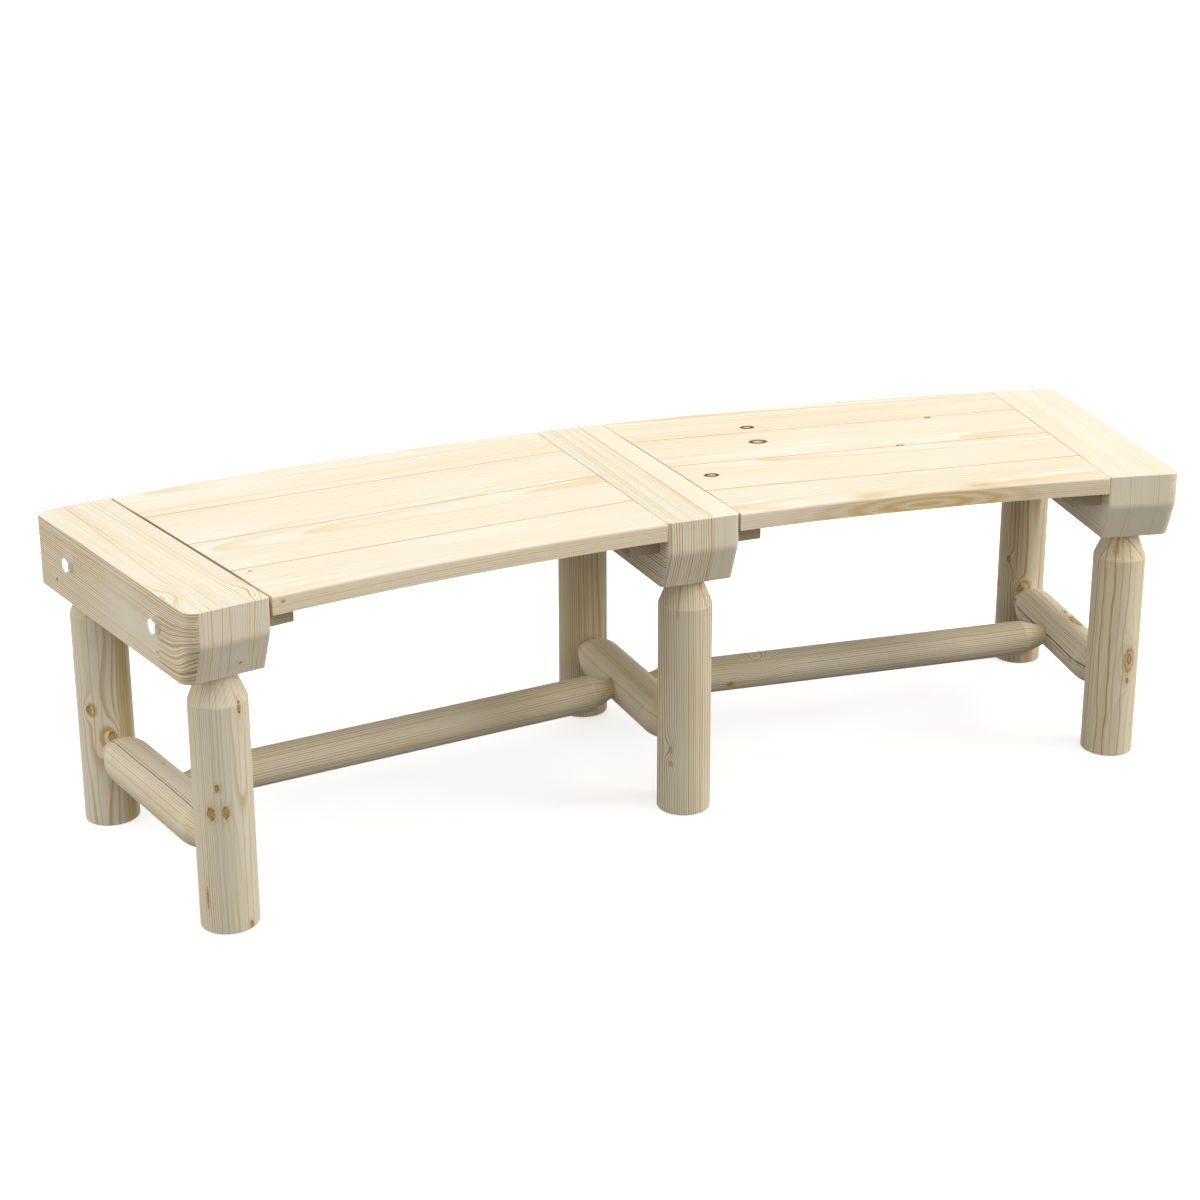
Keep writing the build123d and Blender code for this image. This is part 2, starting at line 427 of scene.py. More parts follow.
BEAM_PINE = PineFinish(early=(0.93, 0.85, 0.67), warm=(0.92, 0.82, 0.61), late=(0.60, 0.39, 0.16))
SEAT_PINE = PineFinish(early=(0.93, 0.84, 0.665), warm=(0.92, 0.80, 0.59), late=(0.84, 0.64, 0.36),
                       amber=(0.84, 0.56, 0.19), knot=(0.30, 0.15, 0.05), rim=(0.04, 0.018, 0.008))
CLEAT_PINE = PineFinish(early=(0.54, 0.46, 0.32), warm=(0.50, 0.40, 0.26), late=(0.35, 0.24, 0.12),
                        amber=(0.36, 0.21, 0.06))
LOG_PINE = PineFinish(early=(0.90, 0.82, 0.64), warm=(0.87, 0.76, 0.54))
GOLD_LOG_PINE = PineFinish(early=(0.88, 0.79, 0.59), warm=(0.84, 0.73, 0.48))
# A lighter copy of the log pine, with painted light: it brightens the right cross log, which the lamps leave
# darker.
PAINTED_LIGHT_LOG_PINE = PineFinish(early=(0.98, 0.90, 0.72), warm=(0.95, 0.85, 0.63))
# A darker, warmer copy of the log pine, with painted shade: it darkens the centre and right back legs, which
# stand in shade under the seat.
PAINTED_SHADE_LOG_PINE = PineFinish(early=(0.79, 0.69, 0.49), warm=(0.74, 0.61, 0.39), late=(0.50, 0.36, 0.17))


class PineWorks:
    """Makes the pine materials, all from four shared node groups."""

    def __init__(self) -> None:
        """Build the groups."""
        self.rings, self.knot = self._rings(), self._knot()
        self.streak, self.vein = self._streak(), self._vein()

    @staticmethod
    def _rings() -> bpy.types.NodeTree:
        """Growth rings about a pith line, with their fibres and clouding.

        Returns:
            The node group.
        """
        numbers = "swell ring warp warp_length ripple uneven seed"
        g, source = start_tree("pine_rings", "Shader", Vector="here pith tilt", Float=numbers)
        here, seed = source["here"], source["seed"]
        x, y, z = g.parts(here)
        from_pith = here - g.scaled(source["tilt"], x) - source["pith"]
        rho = g.vector("LENGTH", from_pith * (0.0, 1.0, 1.0))
        slow = g.noise(g.xyz(x / source["warp_length"], y * 10.0, z * 10.0), seed, 1.0) - 0.5
        quick = g.noise(here * (18.0, 34.0, 34.0), seed) - 0.5
        rho = rho + slow * (source["warp"] * 2.0) + quick * (source["ripple"] * 2.0)
        phase = (rho + source["swell"]) / source["ring"]
        spacing = g.noise(g.xyz(phase * 0.17, 0.0, 0.0), seed + 7.0, 0.0)
        phase = spacing * (source["uneven"] * 2.0) + phase
        part = g.math("FRACT", phase)
        late = g.step(0.42, 0.86, part) * g.fall(0.92, 1.0, part)
        which = g.math("FLOOR", phase) + seed
        pick = g.add("ShaderNodeTexWhiteNoise", {"W": which}, noise_dimensions="1D")
        patch = g.step(0.15, 0.60, g.noise(here * (4.0, 14.0, 14.0), seed + 3.0, 1.0))
        cloud = g.noise(here * (3.0, 22.0, 22.0), seed + 5.0)
        fibre = g.noise(here * (9.0, 620.0, 620.0), seed, 3.0, 0.6)
        amber = g.step(0.84, 0.90, pick) * g.math("POWER", late, 0.7)
        late = late * ((pick * 0.65 + 0.35) * patch)
        return g.results("Float", late=late, amber=amber, fibre=fibre, cloud=g.step(0.35, 0.68, cloud))

    @staticmethod
    def _knot() -> bpy.types.NodeTree:
        """One knot: what it does to the rings round it, and its own disc.

        Returns:
            The node group.
        """
        numbers = "radius stretch spread depth soft seed"
        g, source = start_tree("pine_knot", "Shader", Vector="here place axis", Float=numbers)
        soft, depth, seed = source["soft"], source["depth"], source["seed"]
        axis = g.vector("NORMALIZE", source["axis"])
        gap = source["here"] - source["place"]
        along = g.vector("DOT_PRODUCT", gap, axis)
        flat = (gap - g.scaled(axis, along)) / g.xyz(source["stretch"], 1.0, 1.0)
        true_away = g.vector("LENGTH", flat) / source["radius"]
        fade = true_away / source["spread"]
        away = true_away + (g.noise(gap, seed, scale=260.0) - 0.5) * (soft * 0.6 + 0.2)
        core = g.fall(soft * -0.3 + 0.95, soft * 0.15 + 1.0, away) * (soft * 0.35 + 0.65)
        broken = g.step(0.30, 0.62, g.noise(gap, seed, 1.0, scale=150.0))
        rim = g.fall(0.0, soft * -0.11 + 0.45, g.math("ABSOLUTE", away - 0.93))
        rim = g.math("MULTIPLY", rim, g.math("MAXIMUM", broken, 1.7 - soft * 2.0), clamp=True)
        ring = g.math("SINE", away * 11.0) * 0.5 + 0.5
        halo = g.fall(0.8, 2.9, away) * (ring * 0.75 + 0.25) * (soft * 0.75 + 0.25)
        swell = g.math("POWER", math.e, fade * fade * -1.0)
        reach = g.step(depth * -1.0, depth * -0.6, along)
        marks = {"swell": swell, "core": core, "rim": rim, "halo": halo, "ring": ring}
        return g.results("Float", **{name: value * reach for name, value in marks.items()})

    @staticmethod
    def _span(g: Graph, source: dict[str, Value], x: Value) -> Value:
        """Where a line lies between its start and its end."""
        start, end = source["start"], source["end"]
        return g.step(start, start + 0.02, x) * g.fall(end - 0.02, end, x)

    @staticmethod
    def _streak() -> bpy.types.NodeTree:
        """A thin line along a round log, at one angle about its axis.

        Returns:
            The node group.
        """
        numbers = "angle start end width wander seed"
        g, source = start_tree("pine_streak", "Shader", Vector="here", Float=numbers)
        x, y, z = g.parts(source["here"])
        cosine, sine = (g.math(function, source["angle"]) for function in ("COSINE", "SINE"))
        bend = g.noise(g.xyz(x * 9.0, 0.0, 0.0), source["seed"]) - 0.5
        off = g.math("ABSOLUTE", bend * (source["wander"] * 2.0) + (z * cosine - y * sine))
        thick = g.noise(g.xyz(x * 30.0, 0.0, 0.0), source["seed"] + 2.0, 1.0)
        thick = source["width"] * (thick * 1.2 + 0.4)
        facing = g.math("GREATER_THAN", y * cosine + z * sine, 0.0)
        mask = g.fall(thick * 0.35, thick, off) * facing
        return g.results("Float", mask=mask * PineWorks._span(g, source, x))

    @staticmethod
    def _vein() -> bpy.types.NodeTree:
        """A thin sheet that stands along the grain.

        Returns:
            The node group.
        """
        numbers = "across lean start end width wander seed"
        g, source = start_tree("pine_vein", "Shader", Vector="here", Float=numbers)
        x, y, z = g.parts(source["here"])
        bend = (g.noise(g.xyz(x * 7.0, z * 9.0, 0.0), source["seed"]) - 0.5) * (source["wander"] * 2.0)
        off = g.math("ABSOLUTE", y - (x * source["lean"] + source["across"]) + bend)
        mask = g.fall(source["width"] * 0.2, source["width"], off)
        return g.results("Float", mask=mask * PineWorks._span(g, source, x))

    @staticmethod
    def _use(g: Graph, group: bpy.types.NodeTree, values: dict[str, Feed]) -> dict[str, Value]:
        """Add a group to a material.

        Args:
            g: The material's graph.
            group: The group.
            values: What goes into its inputs, by name. Others are left over.

        Returns:
            Its outputs, by name.
        """
        node = g.node("ShaderNodeGroup", node_tree=group)
        for socket in node.inputs:
            g.feed(socket, values[socket.name])
        return {socket.name: Value(g, socket) for socket in node.outputs}

    def material(self, name: str, finish: PineFinish, grain: Grain, place: Matrix) -> bpy.types.Material:
        """Make the pine of one piece.

        Args:
            name: The piece's name.
            finish: Its colours.
            grain: How it was sawn.
            place: Its own frame, X along the grain.

        Returns:
            The material, which reads object coordinates.
        """
        material, g = start_material(name + "_pine")
        feeds = {"Vector": g.add("ShaderNodeTexCoord", output="Object"), "Location": place.to_translation(),
                 "Rotation": place.to_euler("XYZ")}
        local = g.add("ShaderNodeMapping", feeds, vector_type="TEXTURE")
        x, y, z = g.parts(local)
        side, upright = g.mark(SIDE), g.mark(UPRIGHT)
        here = g.add("ShaderNodeMix", {0: side, 4: local, 5: g.xyz(x, z, y)}, 1, data_type="VECTOR")

        marks = [self._use(g, self.knot, vars(knot) | {"here": here, "seed": number + 0.5})
                 for number, knot in enumerate(grain.knots)]
        swell: Feed = 0.0
        for knot, mark in zip(grain.knots, marks):
            swell = (mark["swell"] * side if knot.on_side else mark["swell"]) * knot.swell + swell
        lines = {"pith": (0.0, *grain.pith), "tilt": (0.0, *grain.tilt)}
        rings = self._use(g, self.rings, vars(grain) | lines | {"here": here, "swell": swell})
        strength = upright * (grain.end_contrast - grain.contrast) + grain.contrast
        strength = side * (grain.side_contrast - grain.end_contrast) + strength
        if grain.plain:
            figured = g.step(grain.plain[1], grain.plain[0], y) * 0.8 + 0.2
            strength = strength * g.math("MAXIMUM", figured, side)
        late = g.math("MULTIPLY", rings["late"], strength, clamp=True)
        colour = g.mix(late, g.mix(rings["cloud"], finish.early, finish.warm), finish.late)
        colour = g.mix(rings["amber"] * grain.amber, colour, finish.amber)
        colour = g.scaled(colour, rings["fibre"] * -0.16 + 1.08)
        height = late * -0.5 + rings["fibre"] * 0.6

        for knot, mark in zip(grain.knots, marks):
            if knot.dark:
                colour = g.mix(mark["halo"] * (knot.halo * knot.dark), colour, finish.halo)
            if knot.dark and not knot.bare:
                heart = g.mix(mark["ring"], finish.knot, finish.halo)
                colour = g.mix(mark["core"] * knot.dark, colour, heart)
                colour = g.mix(mark["rim"] * knot.dark, colour, finish.rim)
                height = mark["rim"] * -0.8 + height
        for number, streak in enumerate(grain.streaks):
            mask = self._use(g, self.streak, vars(streak) | {"here": here, "seed": number + 0.25})["mask"]
            colour = g.mix(mask * streak.dark, colour, finish.amber if streak.amber else finish.rim)
            height = mask * (-0.2 if streak.amber else -1.0) + height
        bent = here + g.xyz(0.0, swell, 0.0)
        for number, vein in enumerate(grain.veins):
            mask = self._use(g, self.vein, vars(vein) | {"here": bent, "seed": number + 0.75})["mask"]
            mask = mask * vein.dark * (side if vein.on_side else 1.0 - side)
            colour = g.mix(mask, colour, finish.amber if vein.amber else finish.knot)

        wear = g.mark(WEAR_AND_SHADE)
        scoured = tuple(min(1.0, channel * 1.05) for channel in finish.early)
        colour = g.mix(g.math("MULTIPLY", wear, 0.35, clamp=True), colour, scoured)
        # Painted shade: where the wear mark is negative, the seam walls are darkened towards the gap colour.
        colour = g.mix(g.math("MULTIPLY", wear, -0.75, clamp=True), colour, finish.gap)
        bump = {"Height": height, "Strength": 0.35, "Distance": 0.35 * MM}
        extra = {"IOR": 1.45, "Specular IOR Level": 0.22}
        g.surface(colour, rings["fibre"] * 0.16 + (finish.rough - 0.08), bump, extra)
        return material


@dataclass(frozen=True)
class ZincFinish:
    """Bright zinc plating, faintly clouded."""

    pale: Triple = (0.80, 0.80, 0.82)
    dull: Triple = (0.62, 0.62, 0.64)
    rough: float = 0.34

    def material(self) -> bpy.types.Material:
        """Make the plating.

        Returns:
            The material.
        """
        material, g = start_material("zinc_plating")
        here = g.add("ShaderNodeTexCoord", output="Object")
        cloud, fine = g.noise(here, 4.0, 3.0, scale=340.0), g.noise(here, 9.0, scale=2600.0)
        g.surface(g.mix(g.step(0.35, 0.7, cloud), self.pale, self.dull), cloud * 0.2 + (self.rough - 0.1),
                  {"Height": fine, "Strength": 0.12, "Distance": 0.05 * MM}, {"Metallic": 0.85})
        return material


@dataclass
class Level:
    """One outline of a loft: its points, and how worn they are, or, where negative, how much painted seam
    shade they take.
    """

    points: list[Vector]
    wear: list[float] | float = 0.0


def new_object(name: str, mesh: bpy.types.Mesh) -> bpy.types.Object:
    """Link a mesh into the scene.

    Args:
        name: The object's name.
        mesh: Its mesh.

    Returns:
        The object, at the origin.
    """
    thing = bpy.data.objects.new(name, mesh)
    bpy.context.scene.collection.objects.link(thing)
    return thing


def fill(mesh: bpy.types.Mesh, parts: Sequence[bpy.types.Mesh]) -> bpy.types.Mesh:
    """Fill a mesh with closed parts, every face outwards.

    Args:
        mesh: The mesh to fill, which may be one of the parts.
        parts: The closed meshes that go into it.

    Returns:
        The same mesh.
    """
    work = bmesh.new()
    for part in parts:
        work.from_mesh(part)
    bmesh.ops.recalc_face_normals(work, faces=work.faces)
    work.to_mesh(mesh)
    work.free()
    return mesh


def set_marks(mesh: bpy.types.Mesh, name: str, domain: str, values: Sequence[float]) -> None:
    """Give each point or face of a mesh a number of its own."""
    mesh.attributes.new(name, "FLOAT", domain).data.foreach_set("value", values)


def loft(name: str, levels: Sequence[Level]) -> bpy.types.Mesh:
    """Join closed outlines into one closed skin, with a flat cap at each end.

    Args:
        name: The mesh's name.
        levels: The outlines from low to high, each with as many points.

    Returns:
        The mesh, its worn edges marked, and its seam walls marked for painted shade.
    """
    count = len(levels[0].points)
    faces = [list(range(count)), list(range((len(levels) - 1) * count, len(levels) * count))]
    for low in range(0, (len(levels) - 1) * count, count):
        pairs = [(low + column, low + (column + 1) % count) for column in range(count)]
        faces += [[here, after, after + count, here + count] for here, after in pairs]
    mesh = bpy.data.meshes.new(name)
    mesh.from_pydata([point for level in levels for point in level.points], [], faces)
    lists = [level.wear if isinstance(level.wear, list) else [level.wear] * count for level in levels]
    set_marks(mesh, WEAR_AND_SHADE, "POINT", [value for values in lists for value in values])
    return fill(mesh, [mesh])


def baked(thing: bpy.types.Object) -> bpy.types.Object:
    """Turn an object's modifiers into plain mesh.

    Args:
        thing: The object, whose modifiers are taken off.

    Returns:
        The same object.
    """
    graph = bpy.context.evaluated_depsgraph_get()
    shaped = thing.evaluated_get(graph)
    mesh = bpy.data.meshes.new_from_object(shaped, preserve_all_data_layers=True, depsgraph=graph)
    thing.modifiers.clear()
    thing.data = mesh
    return thing


def drill(thing: bpy.types.Object, cutters: Sequence[bpy.types.Mesh]) -> None:
    """Cut holes.

    Args:
        thing: The object to cut.
        cutters: What is taken out, in the scene's frame.
    """
    if not cutters:
        return
    tool = new_object("cutter", fill(bpy.data.meshes.new("cutter"), cutters))
    cut = thing.modifiers.new("holes", "BOOLEAN")
    cut.object, cut.operation, cut.solver = tool, "DIFFERENCE", "EXACT"
    baked(thing)
    bpy.data.objects.remove(tool)


def circle(place: Matrix, x: float, radius: float, sides: int) -> Level:
    """A circle about the X axis of a frame."""
    turns = [2 * math.pi * k / sides for k in range(sides)]
    return Level([place @ Vector((x, radius * math.cos(t), radius * math.sin(t))) for t in turns])


def round_bar(
    place: Matrix, radius: float, start: float, end: float, sides: int = BAR_SIDES
) -> bpy.types.Mesh:
    """A plain round bar along the X axis of a frame, from start to end."""
    return loft("bar", [circle(place, x, radius, sides) for x in (start, end)])


def smooth(thing: bpy.types.Object, sharp_degrees: float) -> None:
    """Shade an object smooth with its flats kept flat.

    Args:
        thing: The object.
        sharp_degrees: From which turn an edge stays sharp.
    """
    thing.data.shade_smooth()
    thing.data.set_sharp_from_angle(angle=math.radians(sharp_degrees))
    weighted = thing.modifiers.new("flats", "WEIGHTED_NORMAL")
    weighted.keep_sharp, weighted.weight = True, 90
    baked(thing)


def mark_faces(thing: bpy.types.Object, grain_place: Matrix, lean: tuple[float, float]) -> None:
    """Mark the upright faces, and those whose figure reads the height in place of the width.

    Args:
        thing: The object.
        grain_place: Its own frame, Y across the grain.
        lean: How far a face's normal must turn towards -Y or towards Y for the second mark.
    """
    back = grain_place.to_3x3().inverted()
    normals = [back @ face.normal for face in thing.data.polygons]
    set_marks(thing.data, SIDE, "FACE", [float(n.y < -lean[0] or n.y > lean[1]) for n in normals])
    set_marks(thing.data, UPRIGHT, "FACE", [float(abs(n.z) < 0.75) for n in normals])


def hand_over(thing: bpy.types.Object, slot: str, *nodes: str) -> None:
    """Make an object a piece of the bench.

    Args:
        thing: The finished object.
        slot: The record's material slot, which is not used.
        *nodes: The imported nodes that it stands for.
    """
    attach(thing, BODY)
    if nodes:
        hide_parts(*nodes)
    LOG.info("%s: %d faces", thing.name, len(thing.data.polygons))


def eased(corners: Sequence[Triple], steps: int = ROUND_STEPS) -> list[Triple]:
    """Round the corners of an open outline.

    Args:
        corners: For each corner its two coordinates and how far back its rounding starts.
        steps: How many points stand for each rounding, less one.

    Returns:
        For each point its two coordinates and how worn it is.
    """
    made = []
    for number, (x, y, ease) in enumerate(corners):
        if not ease or number in (0, len(corners) - 1):
            made.append((x, y, 0.0))
            continue
        here = Vector((x, y))
        others = (corners[number - 1], corners[number + 1])
        before, after = ((Vector(other[:2]) - here).normalized() * ease for other in others)
        for t in (step / steps for step in range(steps + 1)):
            point = here + before * (1 - t) ** 2 + after * t**2
            made.append((point.x, point.y, 1.0 - abs(2 * t - 1)))
    return made


class GeometryTool:
    """A geometry tree with named inputs, run on one mesh at a time."""

    def __init__(self, name: str, **inputs: str) -> None:
        """Build the tree.

        Args:
            name: Its name.
            **inputs: For each type of socket, the names of its inputs with a space between them.
        """
        g, source = start_tree(name, "Geometry", Geometry="Geometry", **inputs, Material="Material")
        real = g.add("GeometryNodeRealizeInstances", {"Geometry": self.draw(g, source)})
        dressed = g.add("GeometryNodeSetMaterial", {"Geometry": real, "Material": source["Material"]})
        self.tree = g.results("Geometry", Geometry=dressed)

    def draw(self, g: Graph, source: dict[str, Value]) -> Value:
        """Add the nodes that make the shape.

        Args:
            g: The tree's graph.
            source: The tree's inputs.

        Returns:
            The shape.
        """
        raise NotImplementedError

    def run(self, name: str, mesh: bpy.types.Mesh, **values: object) -> bpy.types.Object:
        """Run the tree on a mesh.

        Args:
            name: The name of the result.
            mesh: The mesh.
            **values: What goes into the other inputs, by name.

        Returns:
            The result, with a plain mesh.
        """
        thing = new_object(name, mesh)
        made = thing.modifiers.new(self.tree.name, "NODES")
        made.node_group = self.tree
        for item in self.tree.interface.items_tree:
            if item.name in values:
                made[item.identifier] = values[item.name]
        return baked(thing)


class Lathe(GeometryTool):
    """Turns round logs from their outlines."""

    def __init__(self) -> None:
        """Build the tree."""
        super().__init__("turned_log", Int="Segments", Float="Unevenness Lump_Length Seed")

    def draw(self, g: Graph, source: dict[str, Value]) -> Value:
        """Wrap a grid round the outline, a column to each segment.

        Args:
            g: The tree's graph.
            source: The tree's inputs.

        Returns:
            The log's skin.
        """
        outline = source["Geometry"]
        size = g.add("GeometryNodeAttributeDomainSize", {0: outline}, "Point Count")
        feeds = {"Vertices X": source["Segments"] + 1.0, "Vertices Y": size}
        grid = g.add("GeometryNodeMeshGrid", feeds, "Mesh")
        index = g.add("GeometryNodeInputIndex")
        column = g.math("FLOOR", (index + 0.5) / size)
        row = index - column * size

        def read(value: Value, kind: str) -> Value:
            """Read a value at the outline's point of this row."""
            feeds = {"Geometry": outline, "Value": value, "Index": row}
            return g.add("GeometryNodeSampleIndex", feeds, data_type=kind)

        x, radius, _ = g.parts(read(g.add("GeometryNodeInputPosition"), "FLOAT_VECTOR"))
        turn = column * (2 * math.pi / source["Segments"])
        cosine, sine = g.math("COSINE", turn), g.math("SINE", turn)
        lumps = g.noise(g.xyz(x / source["Lump_Length"], cosine, sine), source["Seed"], 1.0) - 0.5
        grown = radius + lumps * (source["Unevenness"] * 2.0) * g.step(0.002, 0.02, radius)
        spot = g.xyz(x, grown * cosine, grown * sine)
        skin = g.add("GeometryNodeSetPosition", {"Geometry": grid, "Position": spot})
        wear = read(g.add("GeometryNodeInputNamedAttribute", {"Name": WEAR_AND_SHADE}, data_type="FLOAT"), "FLOAT")
        feeds = {"Geometry": skin, "Name": WEAR_AND_SHADE, "Value": wear}
        marked = g.add("GeometryNodeStoreNamedAttribute", feeds, data_type="FLOAT")
        return g.add("GeometryNodeMergeByDistance", {"Geometry": marked, "Distance": 1e-5})

    def turn(
        self, name: str, outline: Sequence[Triple], place: Matrix, material: bpy.types.Material, seed: float,
        unevenness: float = 0.12 * MM, lump_length: float = 0.12,
    ) -> bpy.types.Object:
        """Turn one log.

        Args:
            name: The piece's name.
            outline: Its outline from end to end: place along X, radius and wear.
            place: Its frame.
            material: Its material.
            seed: Which unevenness it gets.
            unevenness: How far its surface strays from a true round.
            lump_length: How long the lumps are.

        Returns:
            The log, its place in its mesh.
        """
        mesh = bpy.data.meshes.new(name)
        edges = [(k, k + 1) for k in range(len(outline) - 1)]
        mesh.from_pydata([(x, radius, 0) for x, radius, _ in outline], edges, [])
        set_marks(mesh, WEAR_AND_SHADE, "POINT", [worn for _, _, worn in outline])
        thing = self.run(name, mesh, Segments=LOG_SIDES, Unevenness=unevenness, Lump_Length=lump_length,
                         Seed=seed, Material=material)
        made = thing.data
        made.materials.clear()
        made.materials.append(material)
        made.polygons.foreach_set("material_index", [0] * len(made.polygons))
        made.transform(place)
        fill(made, [made])
        return thing


class Fasteners(GeometryTool):
    """Sets copies of one fastener on many places."""

    def __init__(self) -> None:
        """Build the tree."""
        super().__init__("fasteners_in_place", Object="Fastener", Float="Spin", Int="Seed")

    def draw(self, g: Graph, source: dict[str, Value]) -> Value:
        """Set a fastener on each point, turned as the point says and spun.

        Args:
            g: The tree's graph.
            source: The tree's inputs.

        Returns:
            The copies.
        """
        one = g.add("GeometryNodeObjectInfo", {"Object": source["Fastener"]}, "Geometry")
        angles = g.add("GeometryNodeInputNamedAttribute", {"Name": TURN}, data_type="FLOAT_VECTOR")
        turned = g.add("FunctionNodeEulerToRotation", {0: angles})
        feeds = {3: source["Spin"], "Seed": source["Seed"]}
        amount = g.add("FunctionNodeRandomValue", feeds, 1, data_type="FLOAT")
        spin = g.add("FunctionNodeAxisAngleToRotation", {"Axis": (0.0, 0.0, 1.0), "Angle": amount})
        both = g.add("FunctionNodeRotateRotation", {0: turned, 1: spin}, rotation_space="LOCAL")
        feeds = {"Points": source["Geometry"], "Instance": one, "Rotation": both}
        return g.add("GeometryNodeInstanceOnPoints", feeds)

    def set(
        self, name: str, fastener: bpy.types.Mesh, places: Sequence[Matrix], material: bpy.types.Material,
        spin: float, seed: int,
    ) -> bpy.types.Object:
        """Set a fastener on its places.

        Args:
            name: The piece's name.
            fastener: One fastener, along its own Z.
            places: A frame for each copy.
            material: The material of all of them.
            spin: How far each may be turned about its Z.
            seed: Which turns they get.

        Returns:
            All the copies as one plain mesh object.
        """
        mesh = bpy.data.meshes.new(name)
        mesh.from_pydata([place.to_translation() for place in places], [], [])
        turn = mesh.attributes.new(TURN, "FLOAT_VECTOR", "POINT")
        turn.data.foreach_set("vector", [angle for place in places for angle in place.to_euler("XYZ")])
        pattern = new_object(name + "_pattern", fastener)
        thing = self.run(name, mesh, Fastener=pattern, Spin=spin, Seed=seed, Material=material)
        bpy.data.objects.remove(pattern)
        thing.data.shade_smooth()
        thing.data.set_sharp_from_angle(angle=math.radians(25))
        return thing


@dataclass
class Workshop:
    """The tools and finishes that the sub-assemblies share."""

    plan: Plan = field(default_factory=Plan)
    pine: PineWorks = field(default_factory=PineWorks)
    lathe: Lathe = field(default_factory=Lathe)
    fasteners: Fasteners = field(default_factory=Fasteners)
    zinc: bpy.types.Material = field(default_factory=lambda: ZincFinish().material())

    def saw(
        self, names: tuple[str, str, str], levels: Sequence[Level], place: Matrix, grain_place: Matrix,
        looks: tuple[PineFinish, Grain], lean: tuple[float, float], cutters: Sequence[bpy.types.Mesh] = (),
    ) -> None:
        """Make and dress one sawn piece.

        Args:
            names: The piece's name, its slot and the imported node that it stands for.
            levels: Its outlines.
            place: The frame of its outlines.
            grain_place: Its own frame, X along the grain.
            looks: Its finish, and how it was sawn.
            lean: How far its side faces lean, as mark_faces says.
            cutters: What is cut out of it.
        """
        name, slot, node = names
        thing = new_object(name, loft(name, levels))
        thing.data.transform(place)
        thing.data.materials.append(self.pine.material(name, *looks, grain_place))
        drill(thing, cutters)
        smooth(thing, 20)
        mark_faces(thing, grain_place, lean)
        hand_over(thing, slot, node)

    def turn(
        self, name: str, node: str, outline: Sequence[Triple], place: Matrix, looks: tuple[PineFinish, Grain],
        seed: float, cutters: Sequence[bpy.types.Mesh] = (),
    ) -> None:
        """Make and dress one log.

        Args:
            name: The piece's name.
            node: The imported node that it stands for.
            outline: Its outline, as Lathe.turn says.
            place: Its frame.
            looks: Its finish, and how it grew.
            seed: Which unevenness it gets.
            cutters: What is cut out of it.
        """
        thing = self.lathe.turn(name, outline, place, self.pine.material(name, *looks, place), seed)
        drill(thing, cutters)
        smooth(thing, 25)
        hand_over(thing, "log_pine", node)

    def fit(
        self, name: str, fastener: bpy.types.Mesh, places: Sequence[Matrix], *nodes: str,
        spin: float = 0.0, seed: int = 1,
    ) -> None:
        """Set and dress one kind of fastener.

        Args:
            name: The piece's name.
            fastener: One fastener, along its own Z.
            places: A frame for each copy.
            *nodes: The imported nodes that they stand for.
            spin: How far each may be turned about its Z.
            seed: Which turns they get.
        """
        thing = self.fasteners.set(name, fastener, places, self.zinc, spin, seed)
        hand_over(thing, "zinc_plated_steel", *nodes)


